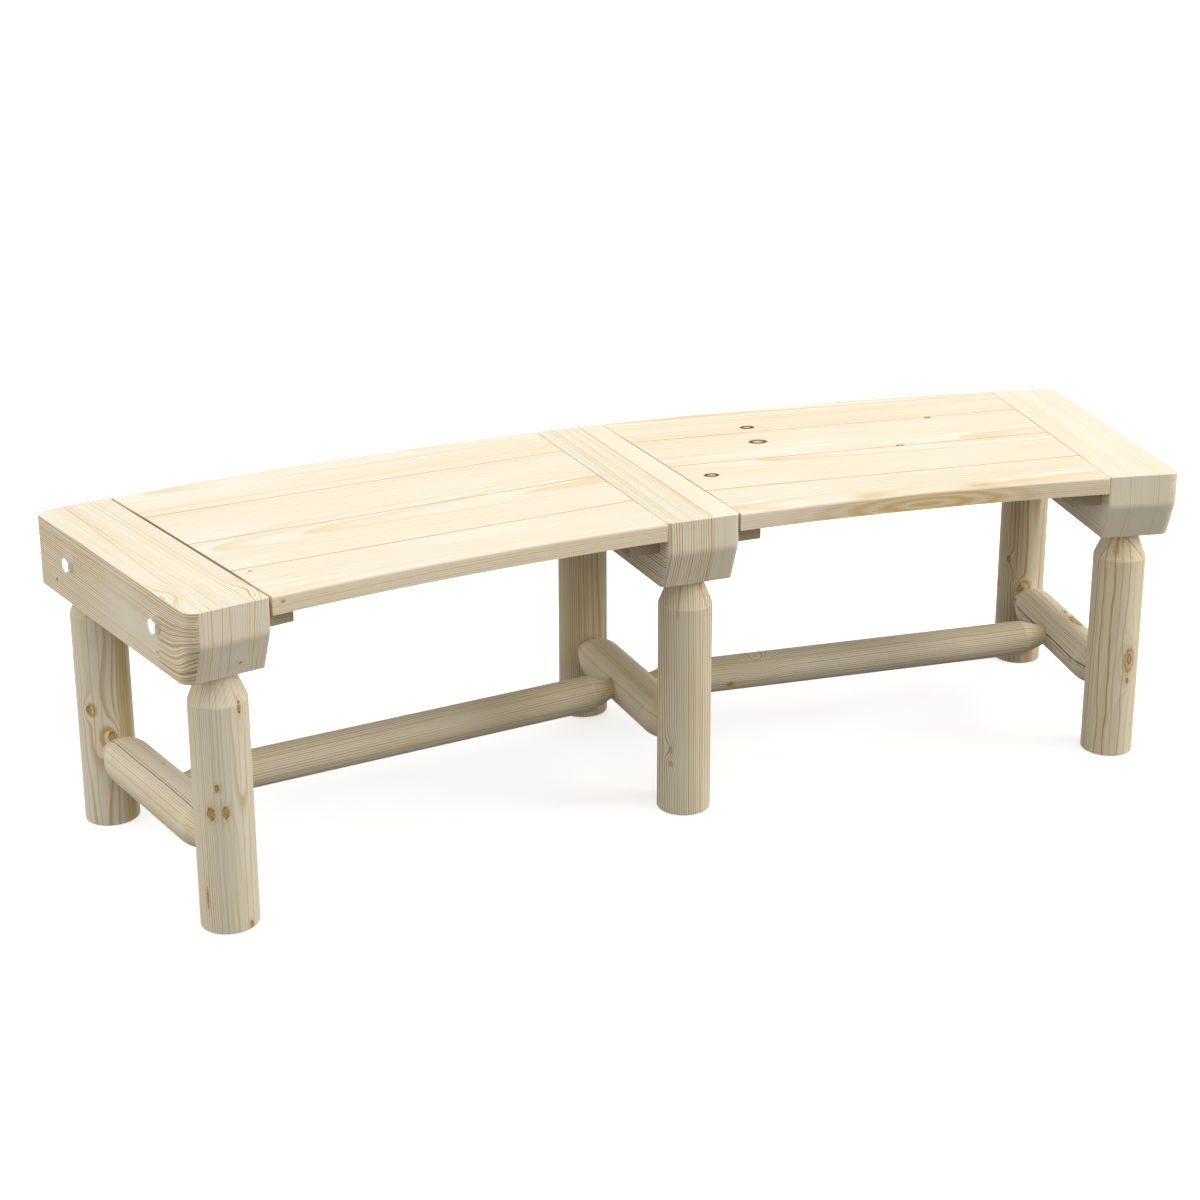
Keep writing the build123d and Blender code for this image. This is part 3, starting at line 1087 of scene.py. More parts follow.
@dataclass
class Beams:
    """The three squared log beams, their noses sawn back underneath."""

    shop: Workshop
    nose_height: float = 52.7 * MM
    nose_setback: float = 20.5 * MM
    knee_blend: float = 5 * MM
    outer_corner: float = 18 * MM
    inner_corner: float = 3 * MM
    centre_corner: float = 8 * MM
    least_corner: float = 0.2 * MM
    top_easing: float = 1.2 * MM
    low_easing: float = 0.5 * MM
    tenon_radius: float = 21.8 * MM
    tenon_length: float = 66 * MM
    bolt_depth: float = 41 * MM
    bolt_reaches: tuple[float, float] = (92.7 * MM, 367.5 * MM)
    bore_radius: float = 6.5 * MM
    pin_depth: float = 78.5 * MM
    pin_reaches: tuple[float, float] = (94.2 * MM, 419.3 * MM)
    pin_radius: float = 3 * MM
    pin_hole_depth: float = 12 * MM
    corner_steps: int = 8
    spans: int = 6

    def build(self) -> None:
        """Make and dress all three beams, the side marks at each corner where its rounding is steepest."""
        plan = self.shop.plan
        leans = {Side.LEFT: (0.7, 0.2), Side.CENTRE: (0.7, 0.7), Side.RIGHT: (0.2, 0.7)}
        for side in Side:
            node = "centre_beam" if side is Side.CENTRE else f"end_beam_{side.word}"
            levels = [self.outline(side, *height) for height in self.heights()]
            grain_place = plan.at(side, 0, 0, plan.beam_low) @ X_TO_Y
            self.shop.saw(("beam_" + side.word, "beam_pine", node), levels, plan.radial(side), grain_place,
                          (BEAM_PINE, self.grain(side)), leans[side], self.cutters(side))

    def corner(self, side: Side, toward: int) -> float:
        """The radius of a beam's corners on one side.

        Args:
            side: The beam.
            toward: -1 for its left side and 1 for its right side.

        Returns:
            The radius.
        """
        if side is Side.CENTRE:
            return self.centre_corner
        return self.outer_corner if toward == side.value else self.inner_corner

    def heights(self) -> list[Triple]:
        """The levels of the loft.

        Returns:
            For each level its height, how far it is drawn in, and how worn it is.
        """
        low, high = self.shop.plan.beam_low, self.shop.plan.seat_height
        turns = [QUARTER * k / ROUND_STEPS for k in range(ROUND_STEPS + 1)]
        rounding = [(1 - math.sin(turn), 1 - math.cos(turn), float(0 < k < ROUND_STEPS))
                    for k, turn in enumerate(turns)]
        made = [(low + self.low_easing * b, self.low_easing * a, worn) for a, b, worn in rounding]
        made += [(low + self.nose_height + self.knee_blend * (k / 4 - 1), 0.0, 0.0) for k in range(9)]
        return made + [(high - self.top_easing * a, self.top_easing * b, worn) for a, b, worn in rounding]

    def outline(self, side: Side, z: float, inset: float, worn: float) -> Level:
        """A beam's outline at one height, in its own frame.

        Args:
            side: Which beam it is.
            z: The height.
            inset: How far the outline is drawn in.
            worn: How worn it is.

        Returns:
            The outline, anticlockwise from above.
        """
        plan = self.shop.plan
        below = plan.beam_low + self.nose_height - z
        if abs(below) < self.knee_blend:
            below = (below + self.knee_blend) ** 2 / (4 * self.knee_blend)
        sawn = plan.front_radius + max(0.0, below) / self.nose_height * self.nose_setback + inset

        def front(x: float) -> float:
            """The front face at a place across."""
            return max(math.sqrt((plan.front_radius + inset) ** 2 - x * x), sawn if below > 0 else 0.0)

        def back(x: float) -> float:
            """The back face at a place across."""
            return math.sqrt((plan.back_radius - inset) ** 2 - x * x)

        left, right = (max(self.corner(side, toward) - inset, self.least_corner) for toward in (-1, 1))
        low_x = -(plan.face_offset(side, -1) - inset) + left
        high_x = plan.face_offset(side, 1) - inset - right
        across = [low_x + (high_x - low_x) * k / self.spans for k in range(self.spans + 1)]
        points = [(x, front(x)) for x in across]
        points += self.arc(high_x, front(high_x) + right, right, -90)
        points += self.arc(high_x, back(high_x) - right, right, 0)
        points += [(x, back(x)) for x in reversed(across)]
        points += self.arc(low_x, back(low_x) - left, left, 90)
        points += self.arc(low_x, front(low_x) + left, left, 180)
        return Level([Vector((x, y, z)) for x, y in points], worn)

    def arc(self, x: float, y: float, radius: float, start: float) -> list[tuple[float, float]]:
        """The points inside a quarter circle, without its first and last where a face ends there.

        Args:
            x: Its centre's X.
            y: Its centre's Y.
            radius: Its radius.
            start: The angle where it starts, in degrees.

        Returns:
            The points.
        """
        first = 1 if start in (-90, 90) else 0
        steps = range(first, first + self.corner_steps)
        turns = [math.radians(start + 90 * k / self.corner_steps) for k in steps]
        return [(x + radius * math.cos(t), y + radius * math.sin(t)) for t in turns]

    def bolt_frames(self, side: Side) -> list[Matrix]:
        """Frames of a beam's two bolts.

        Args:
            side: The beam.

        Returns:
            The frames, each with its origin on the wood under the head and Z along the shank.
        """
        plan = self.shop.plan
        toward = 1 if side is Side.RIGHT else -1
        cleat = plan.cleat_width if side is Side.CENTRE else 0.0
        across = toward * (plan.face_offset(side, toward) + cleat)
        turn = Matrix.Rotation(-toward * QUARTER, 4, "Y")
        height = plan.seat_height - self.bolt_depth
        return [plan.at(side, across, reach, height) @ turn for reach in self.bolt_reaches]

    def grip(self, side: Side) -> float:
        """How much wood a beam's bolts clamp."""
        return self.shop.plan.beam_width + self.shop.plan.cleat_width * (2 if side is Side.CENTRE else 1)

    def pin_frames(self, side: Side) -> list[Matrix]:
        """Frames of the holes in a beam's outer face.

        Args:
            side: The beam.

        Returns:
            The frames, with Z towards the axis of a leg's tenon.
        """
        plan = self.shop.plan
        toward = -1 if side is Side.LEFT else 1
        across = toward * plan.face_offset(side, toward)
        made = []
        for reach, leg in zip(self.pin_reaches, plan.leg_reaches):
            aim = Vector((-across, leg - reach, 0)).to_track_quat("Z", "X").to_matrix().to_4x4()
            made.append(plan.at(side, across, reach, plan.seat_height - self.pin_depth) @ aim)
        return made

    def cutters(self, side: Side) -> list[bpy.types.Mesh]:
        """The mortises, bores and pin holes of a beam.

        Args:
            side: The beam.

        Returns:
            A cutter for each of them.
        """
        plan, past = self.shop.plan, 2 * PAST_FACE
        tenons = [plan.at(side, 0, reach, plan.beam_low) @ X_TO_Z for reach in plan.leg_reaches]
        made = [round_bar(tenon, self.tenon_radius, -PAST_FACE, self.tenon_length) for tenon in tenons]
        made += [round_bar(bolt @ X_TO_Z, self.bore_radius, -past, self.grip(side) + past, BORE_SIDES)
                 for bolt in self.bolt_frames(side)]
        return made + [round_bar(pin @ X_TO_Z, self.pin_radius, -PAST_FACE, self.pin_hole_depth, PIN_SIDES)
                       for pin in self.pin_frames(side)]

    def grain(self, side: Side) -> Grain:
        """How each beam was sawn: its rings stand nearly upright, and lie level on its side faces.

        Args:
            side: The beam.

        Returns:
            Its grain.
        """
        if side is Side.LEFT:
            swirl = Knot((0.074, 0.044, 0.099), radius=8 * MM, stretch=1.5, swell=16 * MM, dark=0.0)
            patch = Knot((0.042, -0.047, 0.099), radius=8 * MM, stretch=2.2, swell=14 * MM, spread=2.2,
                         dark=0.0)
            corner = Knot((-0.004, 0.046, 0.052), radius=16 * MM, stretch=1.2, swell=-22 * MM, spread=2.0,
                          dark=0.0, on_side=True)
            chin = Knot((0.0127, -0.0126, 0.0170), (1, 0, 0), 1.8 * MM, 1.0, 9 * MM, 6.0, 0.7)
            edge = [(0.0402, -0.047, 0.08, 0.6, 1.6, 1.0, 0.45), (0.0345, -0.047, 0.08, 0.6, 1.2, 1.0, 0.3)]
            fan = [(across, -0.02, 0.035, 0.13, 1.5, 0.8, 0.4) for across in (0.047, 0.0535, 0.060)]
            fan += [(across, -0.02, 0.0, 0.10, 1.6, 0.8, 0.4) for across in (-0.041, -0.035)]
            nose = [(0.0285, 0.0, -0.1, 0.03, 1.3, 0.8, 0.6), (0.0340, 0.0, -0.1, 0.03, 1.0, 0.8, 0.35),
                    (0.0400, 0.0, -0.1, 0.03, 1.0, 0.8, 0.35),
                    (0.0042, 0.0, -0.1, 0.03, 0.7, 0.8, 0.6, False)]
            face = [(0.0894, -0.0125, -1.0, 2.0, 1.0, 0.8, 0.8, True, True),
                    (0.0858, -0.0125, -1.0, 2.0, 0.8, 0.8, 0.4, True, True)]
            face += [(0.004 + 0.0075 * k, 0.0, -0.1, 0.10, 1.5, 1.2, 0.6 + 0.1 * (k % 3), k % 2 == 0, True)
                     for k in range(10)]
            return Grain(pith=(-0.70, 0.05), tilt=(0.012, 0.0), ring=3.3 * MM, warp=2.4 * MM, warp_length=0.5,
                         uneven=0.9, contrast=0.72, end_contrast=0.42, side_contrast=1.5, amber=0.5,
                         seed=11.0, knots=(swirl, patch, corner, chin),
                         veins=self.veins(*edge, *fan, *nose, *face))
        if side is Side.RIGHT:
            return Grain(pith=(0.65, 0.06), tilt=(0.01, 0.0), ring=3.3 * MM, warp=2.2 * MM, warp_length=0.5,
                         uneven=0.9, contrast=0.32, end_contrast=0.31, side_contrast=1.2, amber=0.3,
                         seed=23.0)
        veins = self.veins(
            (-0.0145, 0.0, 0.002, 2.0, 1.5, 0.5, 0.75), (-0.0135, 0.0, -0.1, 0.02, 1.5, 0.5, 0.3),
            (-0.0085, 0.012, 0.02, 2.0, 1.2, 0.5, 0.35), (-0.0210, 0.0, -0.1, 0.6, 1.0, 0.5, 0.15),
            (-0.0310, 0.0, -0.1, 0.02, 1.4, 0.5, 0.15),
        )
        return Grain(pith=(0.80, 0.05), tilt=(-0.015, 0.0), ring=4.1 * MM, warp=1.4 * MM, warp_length=0.6,
                     ripple=0.25 * MM, uneven=0.6, seed=5.0, contrast=0.9, end_contrast=1.2,
                     side_contrast=1.3, plain=(-0.011, -0.018), amber=0.25, veins=veins)

    @staticmethod
    def veins(*rows: tuple[float, ...]) -> tuple[Vein, ...]:
        """Veins from rows of a Vein's fields in their order, width and wander in millimetres."""
        return tuple(Vein(*row[:4], row[4] * MM, row[5] * MM, *row[6:]) for row in rows)


@dataclass
class Seat:
    """The eight seat planks, four to a bay."""

    shop: Workshop
    thickness: float = 25 * MM
    seams: Triple = (100.2 * MM, 224.8 * MM, 361 * MM)
    seam_gap: float = 1.0 * MM
    end_gap: float = 1.0 * MM
    left_end_gap: float = 3.5 * MM
    nose_radius: float = 4 * MM
    easing: float = 1.2 * MM
    words: tuple[str, ...] = ("front", "middle_front", "middle_back", "back")
    spans: int = 24

    def build(self) -> None:
        """Make and dress all the planks, none with marked sides."""
        plan = self.shop.plan
        for bay in BAYS:
            grain_place = plan.chordal(bay) @ Matrix.Translation(
                (0, plan.front_radius + plan.depth / 2, plan.seat_height - self.thickness))
            for number, word in enumerate(self.words):
                names = (f"plank_{bay.word}_{word}", "seat_pine", f"seat_board_{bay.word}_{word}")
                levels = [self.outline(bay, number, z) for z in self.heights(number in (0, 3))]
                looks = (SEAT_PINE, self.grain(bay, number))
                self.shop.saw(names, levels, plan.chordal(bay), grain_place, looks, (2, 2))

    def heights(self, nosed: bool) -> list[float]:
        """The heights of the loft's levels, from low to high.

        Args:
            nosed: Whether the plank has a rounded nose.

        Returns:
            The heights.
        """
        high = self.shop.plan.seat_height
        made = {high - self.thickness}
        for radius in (self.easing, self.nose_radius) if nosed else (self.easing,):
            turns = [QUARTER * k / ROUND_STEPS for k in range(ROUND_STEPS + 1)]
            made |= {round(high - radius * (1 - math.sin(turn)), 7) for turn in turns}
        return sorted(made)

    def drawn_in(self, z: float, radius: float) -> float:
        """How far an edge of this rounding is drawn in at a height."""
        rise = z - (self.shop.plan.seat_height - radius)
        return 0.0 if rise <= 0 else radius - math.sqrt(max(radius**2 - rise**2, 0.0))

    def outline(self, bay: Side, number: int, z: float) -> Level:
        """A plank's outline at one height, in its bay's frame.

        Args:
            bay: Its bay.
            number: Its place from the front.
            z: The height.

        Returns:
            The outline, anticlockwise from above.
        """
        plan = self.shop.plan
        edge, nose = self.drawn_in(z, self.easing), self.drawn_in(z, self.nose_radius)
        edges = (0.0, *self.seams, plan.depth)

        def front(x: float) -> float:
            """Follow the front edge.

            Args:
                x: The place along the bay.

            Returns:
                How far out the edge is there.
            """
            if number == 0:
                return math.sqrt((plan.front_radius + nose) ** 2 - x * x)
            return plan.front_radius + edges[number] + self.seam_gap / 2 + edge

        def back(x: float) -> float:
            """Follow the back edge.

            Args:
                x: The place along the bay.

            Returns:
                How far out the edge is there.
            """
            if number == 3:
                return math.sqrt((plan.back_radius - nose) ** 2 - x * x)
            return plan.front_radius + edges[number + 1] - self.seam_gap / 2 - edge

        worn = 0.5 if plan.seat_height - self.nose_radius < z < plan.seat_height else 0.0
        # Painted shade: the seam walls below the easing are marked to be darkened towards the gap colour.
        gap = -min(1.0, 2.5 * (plan.seat_height - z) / self.easing)
        points, wear = [], []
        for line, nosed in ((front, number == 0), (back, number == 3)):
            left, right = (self.end_at(bay, toward, line, edge) for toward in (-1, 1))
            across = [left + (right - left) * k / self.spans for k in range(self.spans + 1)]
            points += [(x, line(x)) for x in (reversed(across) if line is back else across)]
            wear += [worn if nosed else gap] * len(across)
        return Level([Vector((x, y, z)) for x, y in points], wear)

    def end_at(self, bay: Side, toward: int, line: Callable[[float], float], inset: float) -> float:
        """Where a plank's edge meets its end cut.

        Args:
            bay: The plank's bay.
            toward: -1 for its left end and 1 for its right end.
            line: The edge, as a function of the place along the bay.
            inset: How far the end is drawn in.

        Returns:
            The place along the bay.
        """
        plan = self.shop.plan
        beam = Side.CENTRE if toward != bay.value else bay
        gap = self.left_end_gap if beam is Side.LEFT else self.end_gap
        away = plan.face_offset(beam, -toward) + gap + inset
        half = plan.end_angle / 2
        x = toward * plan.front_radius * math.sin(half)
        for _ in range(8):
            x = toward * (line(x) * math.sin(half) - away) / math.cos(half)
        return x

    def grain(self, bay: Side, number: int) -> Grain:
        """How each plank was sawn: flat, with the pith some way below it.

        Args:
            bay: Its bay.
            number: Its place from the front.

        Returns:
            Its grain.
        """
        def hard(x: float, y: float, radius: float, stretch: float = 1.35, dark: float = 0.95) -> Knot:
            """A hard knot on top, its radius in millimetres."""
            return Knot((x, y, self.thickness), radius=radius * MM, stretch=stretch, dark=dark, soft=0.0)

        knots = {
            (Side.RIGHT, 0): (Knot((0.003, -0.243, 0.008), (0, -1, 0), 11 * MM, 7.8, 0.0, dark=1.0, soft=0.0,
                                   halo=3.4, bare=True),),
            (Side.RIGHT, 1): (hard(-0.2589, -0.0779, 7),),
            (Side.RIGHT, 2): (hard(-0.1344, 0.0630, 9, dark=0.85), hard(0.1694, 0.1117, 3.4, 1.3),
                              hard(0.0639, -0.0178, 2.6, 2.0)),
            (Side.RIGHT, 3): (hard(-0.1224, 0.1421, 7),),
            (Side.LEFT, 0): (
                Knot((-0.2735, -0.1571, 0.025), radius=2 * MM, stretch=1.3, dark=0.8),
                Knot((-0.2681, -0.2563, 0.0162), (0, -1, 0), radius=1.8 * MM, stretch=1.3, dark=0.8),
            ),
        }
        at_right = bay is Side.RIGHT
        pith = ((-0.245, -0.035, -0.012, 0.235)[number] + (0.012 if at_right else -0.01), -0.13)
        return Grain(pith=pith, tilt=(0.03 if number % 2 else -0.022, 0.012), ring=3.2 * MM, warp=4 * MM,
                     warp_length=0.45, ripple=0.6 * MM, end_contrast=1.2, amber=0.65,
                     contrast=(1.3, 1.3, 1.4, 1.6)[number] if at_right else 0.9,
                     seed=31.0 + 7 * number + (3 if at_right else 0), knots=knots.get((bay, number), ()))


@dataclass
class Cleats:
    """The four battens under the planks' ends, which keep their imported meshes."""

    shop: Workshop

    def build(self) -> None:
        """Dress the cleats."""
        for bay in BAYS:
            for word, beam in (("outer", bay), ("inner", Side.CENTRE)):
                name = f"cleat_{bay.word}_{word}"
                low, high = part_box(name)
                place = self.shop.plan.radial(beam) @ X_TO_Y
                place.translation = (low + high) / 2
                grain = Grain(pith=(0.03, -0.05), ring=3 * MM, warp=4 * MM, seed=61.0 + len(word) + bay.value)
                slots = frame["nodes"][name].data.materials
                slots.clear()
                slots.append(self.shop.pine.material(name, CLEAT_PINE, grain, place))
                LOG.info("%s: dressed", name)


@dataclass
class Legs:
    """The six log legs, with coned shoulders and round tenons."""

    shop: Workshop
    shoulder: float = 40.5 * MM
    tenon_radius: float = 21.5 * MM
    tenon_length: float = 65.5 * MM
    tenon_easing: float = 1.5 * MM
    foot_easing: float = 1.6 * MM
    shoulder_easing: float = 2 * MM
    mortise_radius: float = 22.3 * MM
    mortise_depth: float = 42.3 * MM

    def build(self) -> None:
        """Make and dress all the legs."""
        for side in Side:
            for number, word in enumerate(("front", "back")):
                self.build_leg(side, number, word)

    def build_leg(self, side: Side, number: int, word: str) -> None:
        """Make and dress one leg.

        Args:
            side: Its beam.
            number: 0 for the front leg and 1 for the back one.
            word: Its name.
        """
        plan = self.shop.plan
        reach, radius, top = plan.leg_reaches[number], plan.leg_radius, plan.beam_low
        corners = [
            (0.0, 0.0, 0.0),
            (0.0, radius, self.foot_easing),
            (top - self.shoulder, radius, self.shoulder_easing),
            (top, self.tenon_radius, 0.0),
            (top + self.tenon_length, self.tenon_radius, self.tenon_easing),
            (top + self.tenon_length, 0.0, 0.0),
        ]
        finish = GOLD_LOG_PINE if side is Side.RIGHT else LOG_PINE
        # The centre and right back legs take the darker copy of the log pine, which is painted shade.
        if word == "back" and side is not Side.LEFT:
            finish = PAINTED_SHADE_LOG_PINE
        inwards = Matrix.Rotation(QUARTER if word == "front" else -QUARTER, 4, "Z")
        hole = plan.at(side, 0, reach, plan.stretcher_height) @ inwards
        cutter = round_bar(hole, self.mortise_radius, radius - self.mortise_depth, 2 * radius)
        self.shop.turn(f"log_leg_{side.word}_{word}", f"leg_{side.word}_{word}", eased(corners),
                       plan.at(side, 0, reach, 0) @ X_TO_Z, (finish, self.grain(side, word)),
                       3.0 * number + side.value, [cutter])

    def grain(self, side: Side, word: str) -> Grain:
        """How each leg grew, with the knots on its face.

        Args:
            side: Its beam.
            word: Its name.

        Returns:
            Its grain.
        """
        def knot(height: float, azimuth: float, radius: float, stretch: float = 1.3, **looks: float) -> Knot:
            """Place a knot on a leg's face.

            Args:
                height: How high it is.
                azimuth: Where it faces, in degrees from -Y towards +X.
                radius: Its radius in millimetres.
                stretch: How much longer it is along the leg.
                **looks: Other fields of the knot, its swell in millimetres.

            Returns:
                The knot.
            """
            turn = math.radians(azimuth) + side.value * self.shop.plan.end_angle
            way = Vector((0.0, -math.cos(turn), -math.sin(turn)))
            place = (height, *(way * self.shop.plan.leg_radius).yz)
            return Knot(place, tuple(way), radius * MM, stretch, looks.pop("swell", 6) * MM, **looks)

        def lines(*rows: tuple[float, ...]) -> tuple[Streak, ...]:
            """Draw amber lines up a leg.

            Args:
                *rows: For each line its angle from its back to its left in degrees and how dark it is, then,
                    where it differs from most, its width and wander in millimetres and its start.

            Returns:
                The lines.
            """
            full = [row + (1.2, 2.5, -0.02)[len(row) - 2:] for row in rows]
            return tuple(Streak(math.radians(turn), start, 0.5, width * MM, wander * MM, dark, True)
                         for turn, dark, width, wander, start in full)

        return {
            "left_front": Grain(
                pith=(0.24, 0.06), tilt=(0.01, 0.02), ring=2.9 * MM, warp=2.2 * MM, warp_length=0.13,
                seed=2.0, contrast=1.15, amber=0.7, knots=(
                    knot(0.168, -37.3, 4.6, 1.8, dark=0.9, halo=0.8, swell=2.5, spread=2.2),
                    knot(0.1695, -8.8, 4.2, 1.8, dark=0.9, halo=0.8, swell=2.5, spread=2.2),
                    knot(0.203, -22.8, 2.4, 2.0, dark=0.95),
                    knot(0.308, 30.3, 2.2, 4.2, dark=1.0, swell=4, spread=3.0),
                    knot(0.049, -56.0, 1.8, 8.0, dark=0.8, swell=1), knot(0.006, 32.3, 3, 1.6, dark=0.95)),
                streaks=lines((118, 0.3), (139, 0.35), (151, 0.3), (172, 0.25), (192, 0.4), (207, 0.35))),
            "centre_front": Grain(
                pith=(-0.16, -0.34), tilt=(0.0, 0.01), ring=3.3 * MM, warp=1.6 * MM, warp_length=0.2,
                seed=6.0, uneven=0.8, contrast=2.0, amber=0.5, knots=(
                    knot(0.099, -53.4, 2.5, 2.0, dark=0.5, swell=7, spread=4.0),
                    knot(0.078, -54.0, 2.5, 1.6, dark=0.6, swell=-5, spread=3.0)),
                streaks=lines((140, 0.75, 1.6, 0.6, 0.29), (208, 0.85, 1.8, 0.6, 0.29), (196, 0.4))),
            "right_front": Grain(
                pith=(0.09, -0.035), tilt=(0.0, 0.03), ring=3.6 * MM, warp=3 * MM, warp_length=0.15,
                seed=9.0, contrast=0.55, amber=0.8, knots=(
                    knot(0.154, 3.5, 9, 2.1, dark=0.5, soft=0.6, swell=12, spread=2.0, halo=1.2),
                    knot(0.156, 3.5, 3.4, 2.2, dark=0.9, soft=0.5, swell=0.0, halo=0.5),
                    knot(0.121, 2.1, 2.4, 1.8, dark=0.95), knot(0.326, -47.0, 4, 1.8, dark=0.45, swell=10)),
                streaks=lines((112, 0.4), (126, 0.8, 1.6, 8), (147, 0.95, 1.9, 9), (163, 0.45, 1.5, 7),
                              (180, 0.7, 1.5, 10), (220, 0.5))),
            "left_back": Grain(
                pith=(0.06, -0.05), tilt=(0.02, 0.0), ring=3.8 * MM, warp=4 * MM, warp_length=0.16,
                seed=4.0, contrast=1.1, amber=0.9, knots=(
                    knot(0.1757, -43.9, 4.3, 1.2, dark=0.95, swell=6, spread=2.8, halo=0.25),
                    knot(0.133, 2.6, 6, 1.5, dark=0.8, swell=9, spread=3.0, halo=0.35)),
                streaks=lines((134, 0.5, 1.2, 5), (153, 0.45, 1.2, 6), (196, 0.3), (192, 0.45, 5),
                              (203, 0.55, 6), (213, 0.55, 6))),
            "right_back": Grain(
                pith=(0.12, 0.02), tilt=(0.01, 0.01), ring=3.6 * MM, warp=2.5 * MM, warp_length=0.2,
                seed=12.0, contrast=1.3, amber=0.8, knots=(
                    knot(0.1812, -67.3, 3, 1.9, dark=0.9), knot(0.132, -34.0, 4.5, 1.5, dark=0.85, swell=9),
                    knot(0.132, -108.0, 4, 1.5, dark=0.85)),
                streaks=lines((140, 0.5, 1.2, 4), (168, 0.4))),
            "centre_back": Grain(
                pith=(0.2, 0.15), tilt=(0.01, 0.01), ring=3.4 * MM, warp=2.5 * MM, warp_length=0.2,
                seed=8.0, contrast=1.0, amber=0.7, streaks=lines((150, 0.6), (166, 0.4), (190, 0.5))),
        }[f"{side.word}_{word}"]


@dataclass
class Stretchers:
    """The three cross logs between the legs, and the two long logs that tie them."""

    shop: Workshop
    cross_radius: float = 33.5 * MM
    cross_taper: float = 29 * MM
    cross_rounding: float = 12 * MM
    cross_tenon_radius: float = 22 * MM
    cross_tenon: float = 41.5 * MM
    long_radius: float = 26.6 * MM
    long_reach: float = 254 * MM
    long_taper: float = 36 * MM
    long_rounding: float = 3 * MM
    long_tenon_radius: float = 15 * MM
    long_tenon_past_axis: float = 13.5 * MM
    long_tenon_short_of_axis: float = 7.5 * MM
    tenon_easing: float = 1 * MM
    pin_reach: float = 258 * MM
    end_pin_offset: float = 6.5 * MM
    centre_pin_offset: float = 9 * MM
    pin_radius: float = 3 * MM
    pin_hole_depth: float = 12 * MM
    mortise_cut: float = 80 * MM

    def build(self) -> None:
        """Make and dress all the stretchers."""
        for side in Side:
            self.build_cross(side)
        for bay in BAYS:
            self.build_long(bay)

    def outline(
        self, half: float, radius: float, taper: tuple[float, float], tenon: float, ends: tuple[float, float]
    ) -> list[Triple]:
        """The outline of a log with a taper and a tenon at each end.

        Args:
            half: Half its length between the tenons.
            radius: Its radius.
            taper: How long its tapers are, and how far back the rounding starts where they begin.
            tenon: The tenons' radius.
            ends: How long the left and right tenons are.

        Returns:
            The points of the outline.
        """
        length, rounding = taper
        left = [(-half - ends[0], 0.0, 0.0), (-half - ends[0], tenon, self.tenon_easing), (-half, tenon, 0.0)]
        right = [(half, tenon, 0.0), (half + ends[1], tenon, self.tenon_easing), (half + ends[1], 0.0, 0.0)]
        middle = [(-half + length, radius, rounding), (half - length, radius, rounding)]
        return eased([*left, *middle, *right], 8)

    def long_frame(self, bay: Side) -> Matrix:
        """The middle of a long log.

        Args:
            bay: Its bay.

        Returns:
            The frame, X along the log to the right.
        """
        plan = self.shop.plan
        out = (plan.front_radius + self.long_reach) * math.cos(plan.end_angle / 2)
        return plan.chordal(bay) @ Matrix.Translation((0, out, plan.stretcher_height))

    def long_half(self) -> float:
        """Half a long log's length between its tenons."""
        plan = self.shop.plan
        return (plan.front_radius + self.long_reach) * math.sin(plan.end_angle / 2) - self.to_axis()

    def to_axis(self) -> float:
        """From a long log's shoulder to the axis of the cross log, along the long log."""
        half = self.shop.plan.end_angle / 2
        return (self.cross_radius + self.long_tenon_radius * math.sin(half)) / math.cos(half)

    def long_ends(self, bay: Side) -> tuple[float, float]:
        """How long a long log's tenons are.

        Args:
            bay: Its bay.

        Returns:
            The lengths of the left and the right tenon.
        """
        outer = self.to_axis() + self.long_tenon_past_axis
        inner = self.to_axis() - self.long_tenon_short_of_axis
        return (outer, inner) if bay is Side.LEFT else (inner, outer)

    def pin_frame(self, side: Side) -> Matrix:
        """The hole on top of a cross log.

        Args:
            side: The cross log's beam.

        Returns:
            The frame, with Z down into the log.
        """
        across = self.centre_pin_offset if side is Side.CENTRE else self.end_pin_offset
        top = self.shop.plan.stretcher_height + math.sqrt(self.cross_radius**2 - across**2)
        return self.shop.plan.at(side, across, self.pin_reach, top) @ FLIP

    def mortise(self, side: Side, bay: Side) -> bpy.types.Mesh:
        """What a bay's long log needs cut out of a cross log.

        Args:
            side: The cross log's beam.
            bay: The bay.

        Returns:
            The cutter, from the tip of the tenon outwards.
        """
        ends = self.long_ends(bay)
        if side.value < bay.value / 2:
            tip, outer = -self.long_half() - ends[0], self.mortise_cut
        else:
            tip, outer = self.long_half() + ends[1], -self.mortise_cut
        start, end = sorted((tip, tip + outer))
        return round_bar(self.long_frame(bay), self.long_tenon_radius + TENON_PLAY, start, end)

    def build_cross(self, side: Side) -> None:
        """Make and dress one cross log.

        Args:
            side: Its beam.
        """
        plan = self.shop.plan
        front, back = plan.leg_reaches
        outline = self.outline(
            (back - front) / 2 - plan.leg_radius, self.cross_radius, (self.cross_taper, self.cross_rounding),
            self.cross_tenon_radius, (self.cross_tenon, self.cross_tenon),
        )
        # The right cross log takes the lighter copy of the log pine, which is painted light.
        finish = {Side.LEFT: LOG_PINE, Side.CENTRE: GOLD_LOG_PINE, Side.RIGHT: PAINTED_LIGHT_LOG_PINE}[side]
        pin = self.pin_frame(side) @ X_TO_Z
        cutters = [round_bar(pin, self.pin_radius, -PAST_FACE, self.pin_hole_depth, PIN_SIDES)]
        cutters += [self.mortise(side, bay) for bay in (BAYS if side is Side.CENTRE else (side,))]
        place = plan.at(side, 0, (front + back) / 2, plan.stretcher_height) @ X_TO_Y
        self.shop.turn(f"cross_log_{side.word}", f"cross_stretcher_{side.word}", outline, place,
                       (finish, self.cross_grain(side)), 20.0 + side.value, cutters)

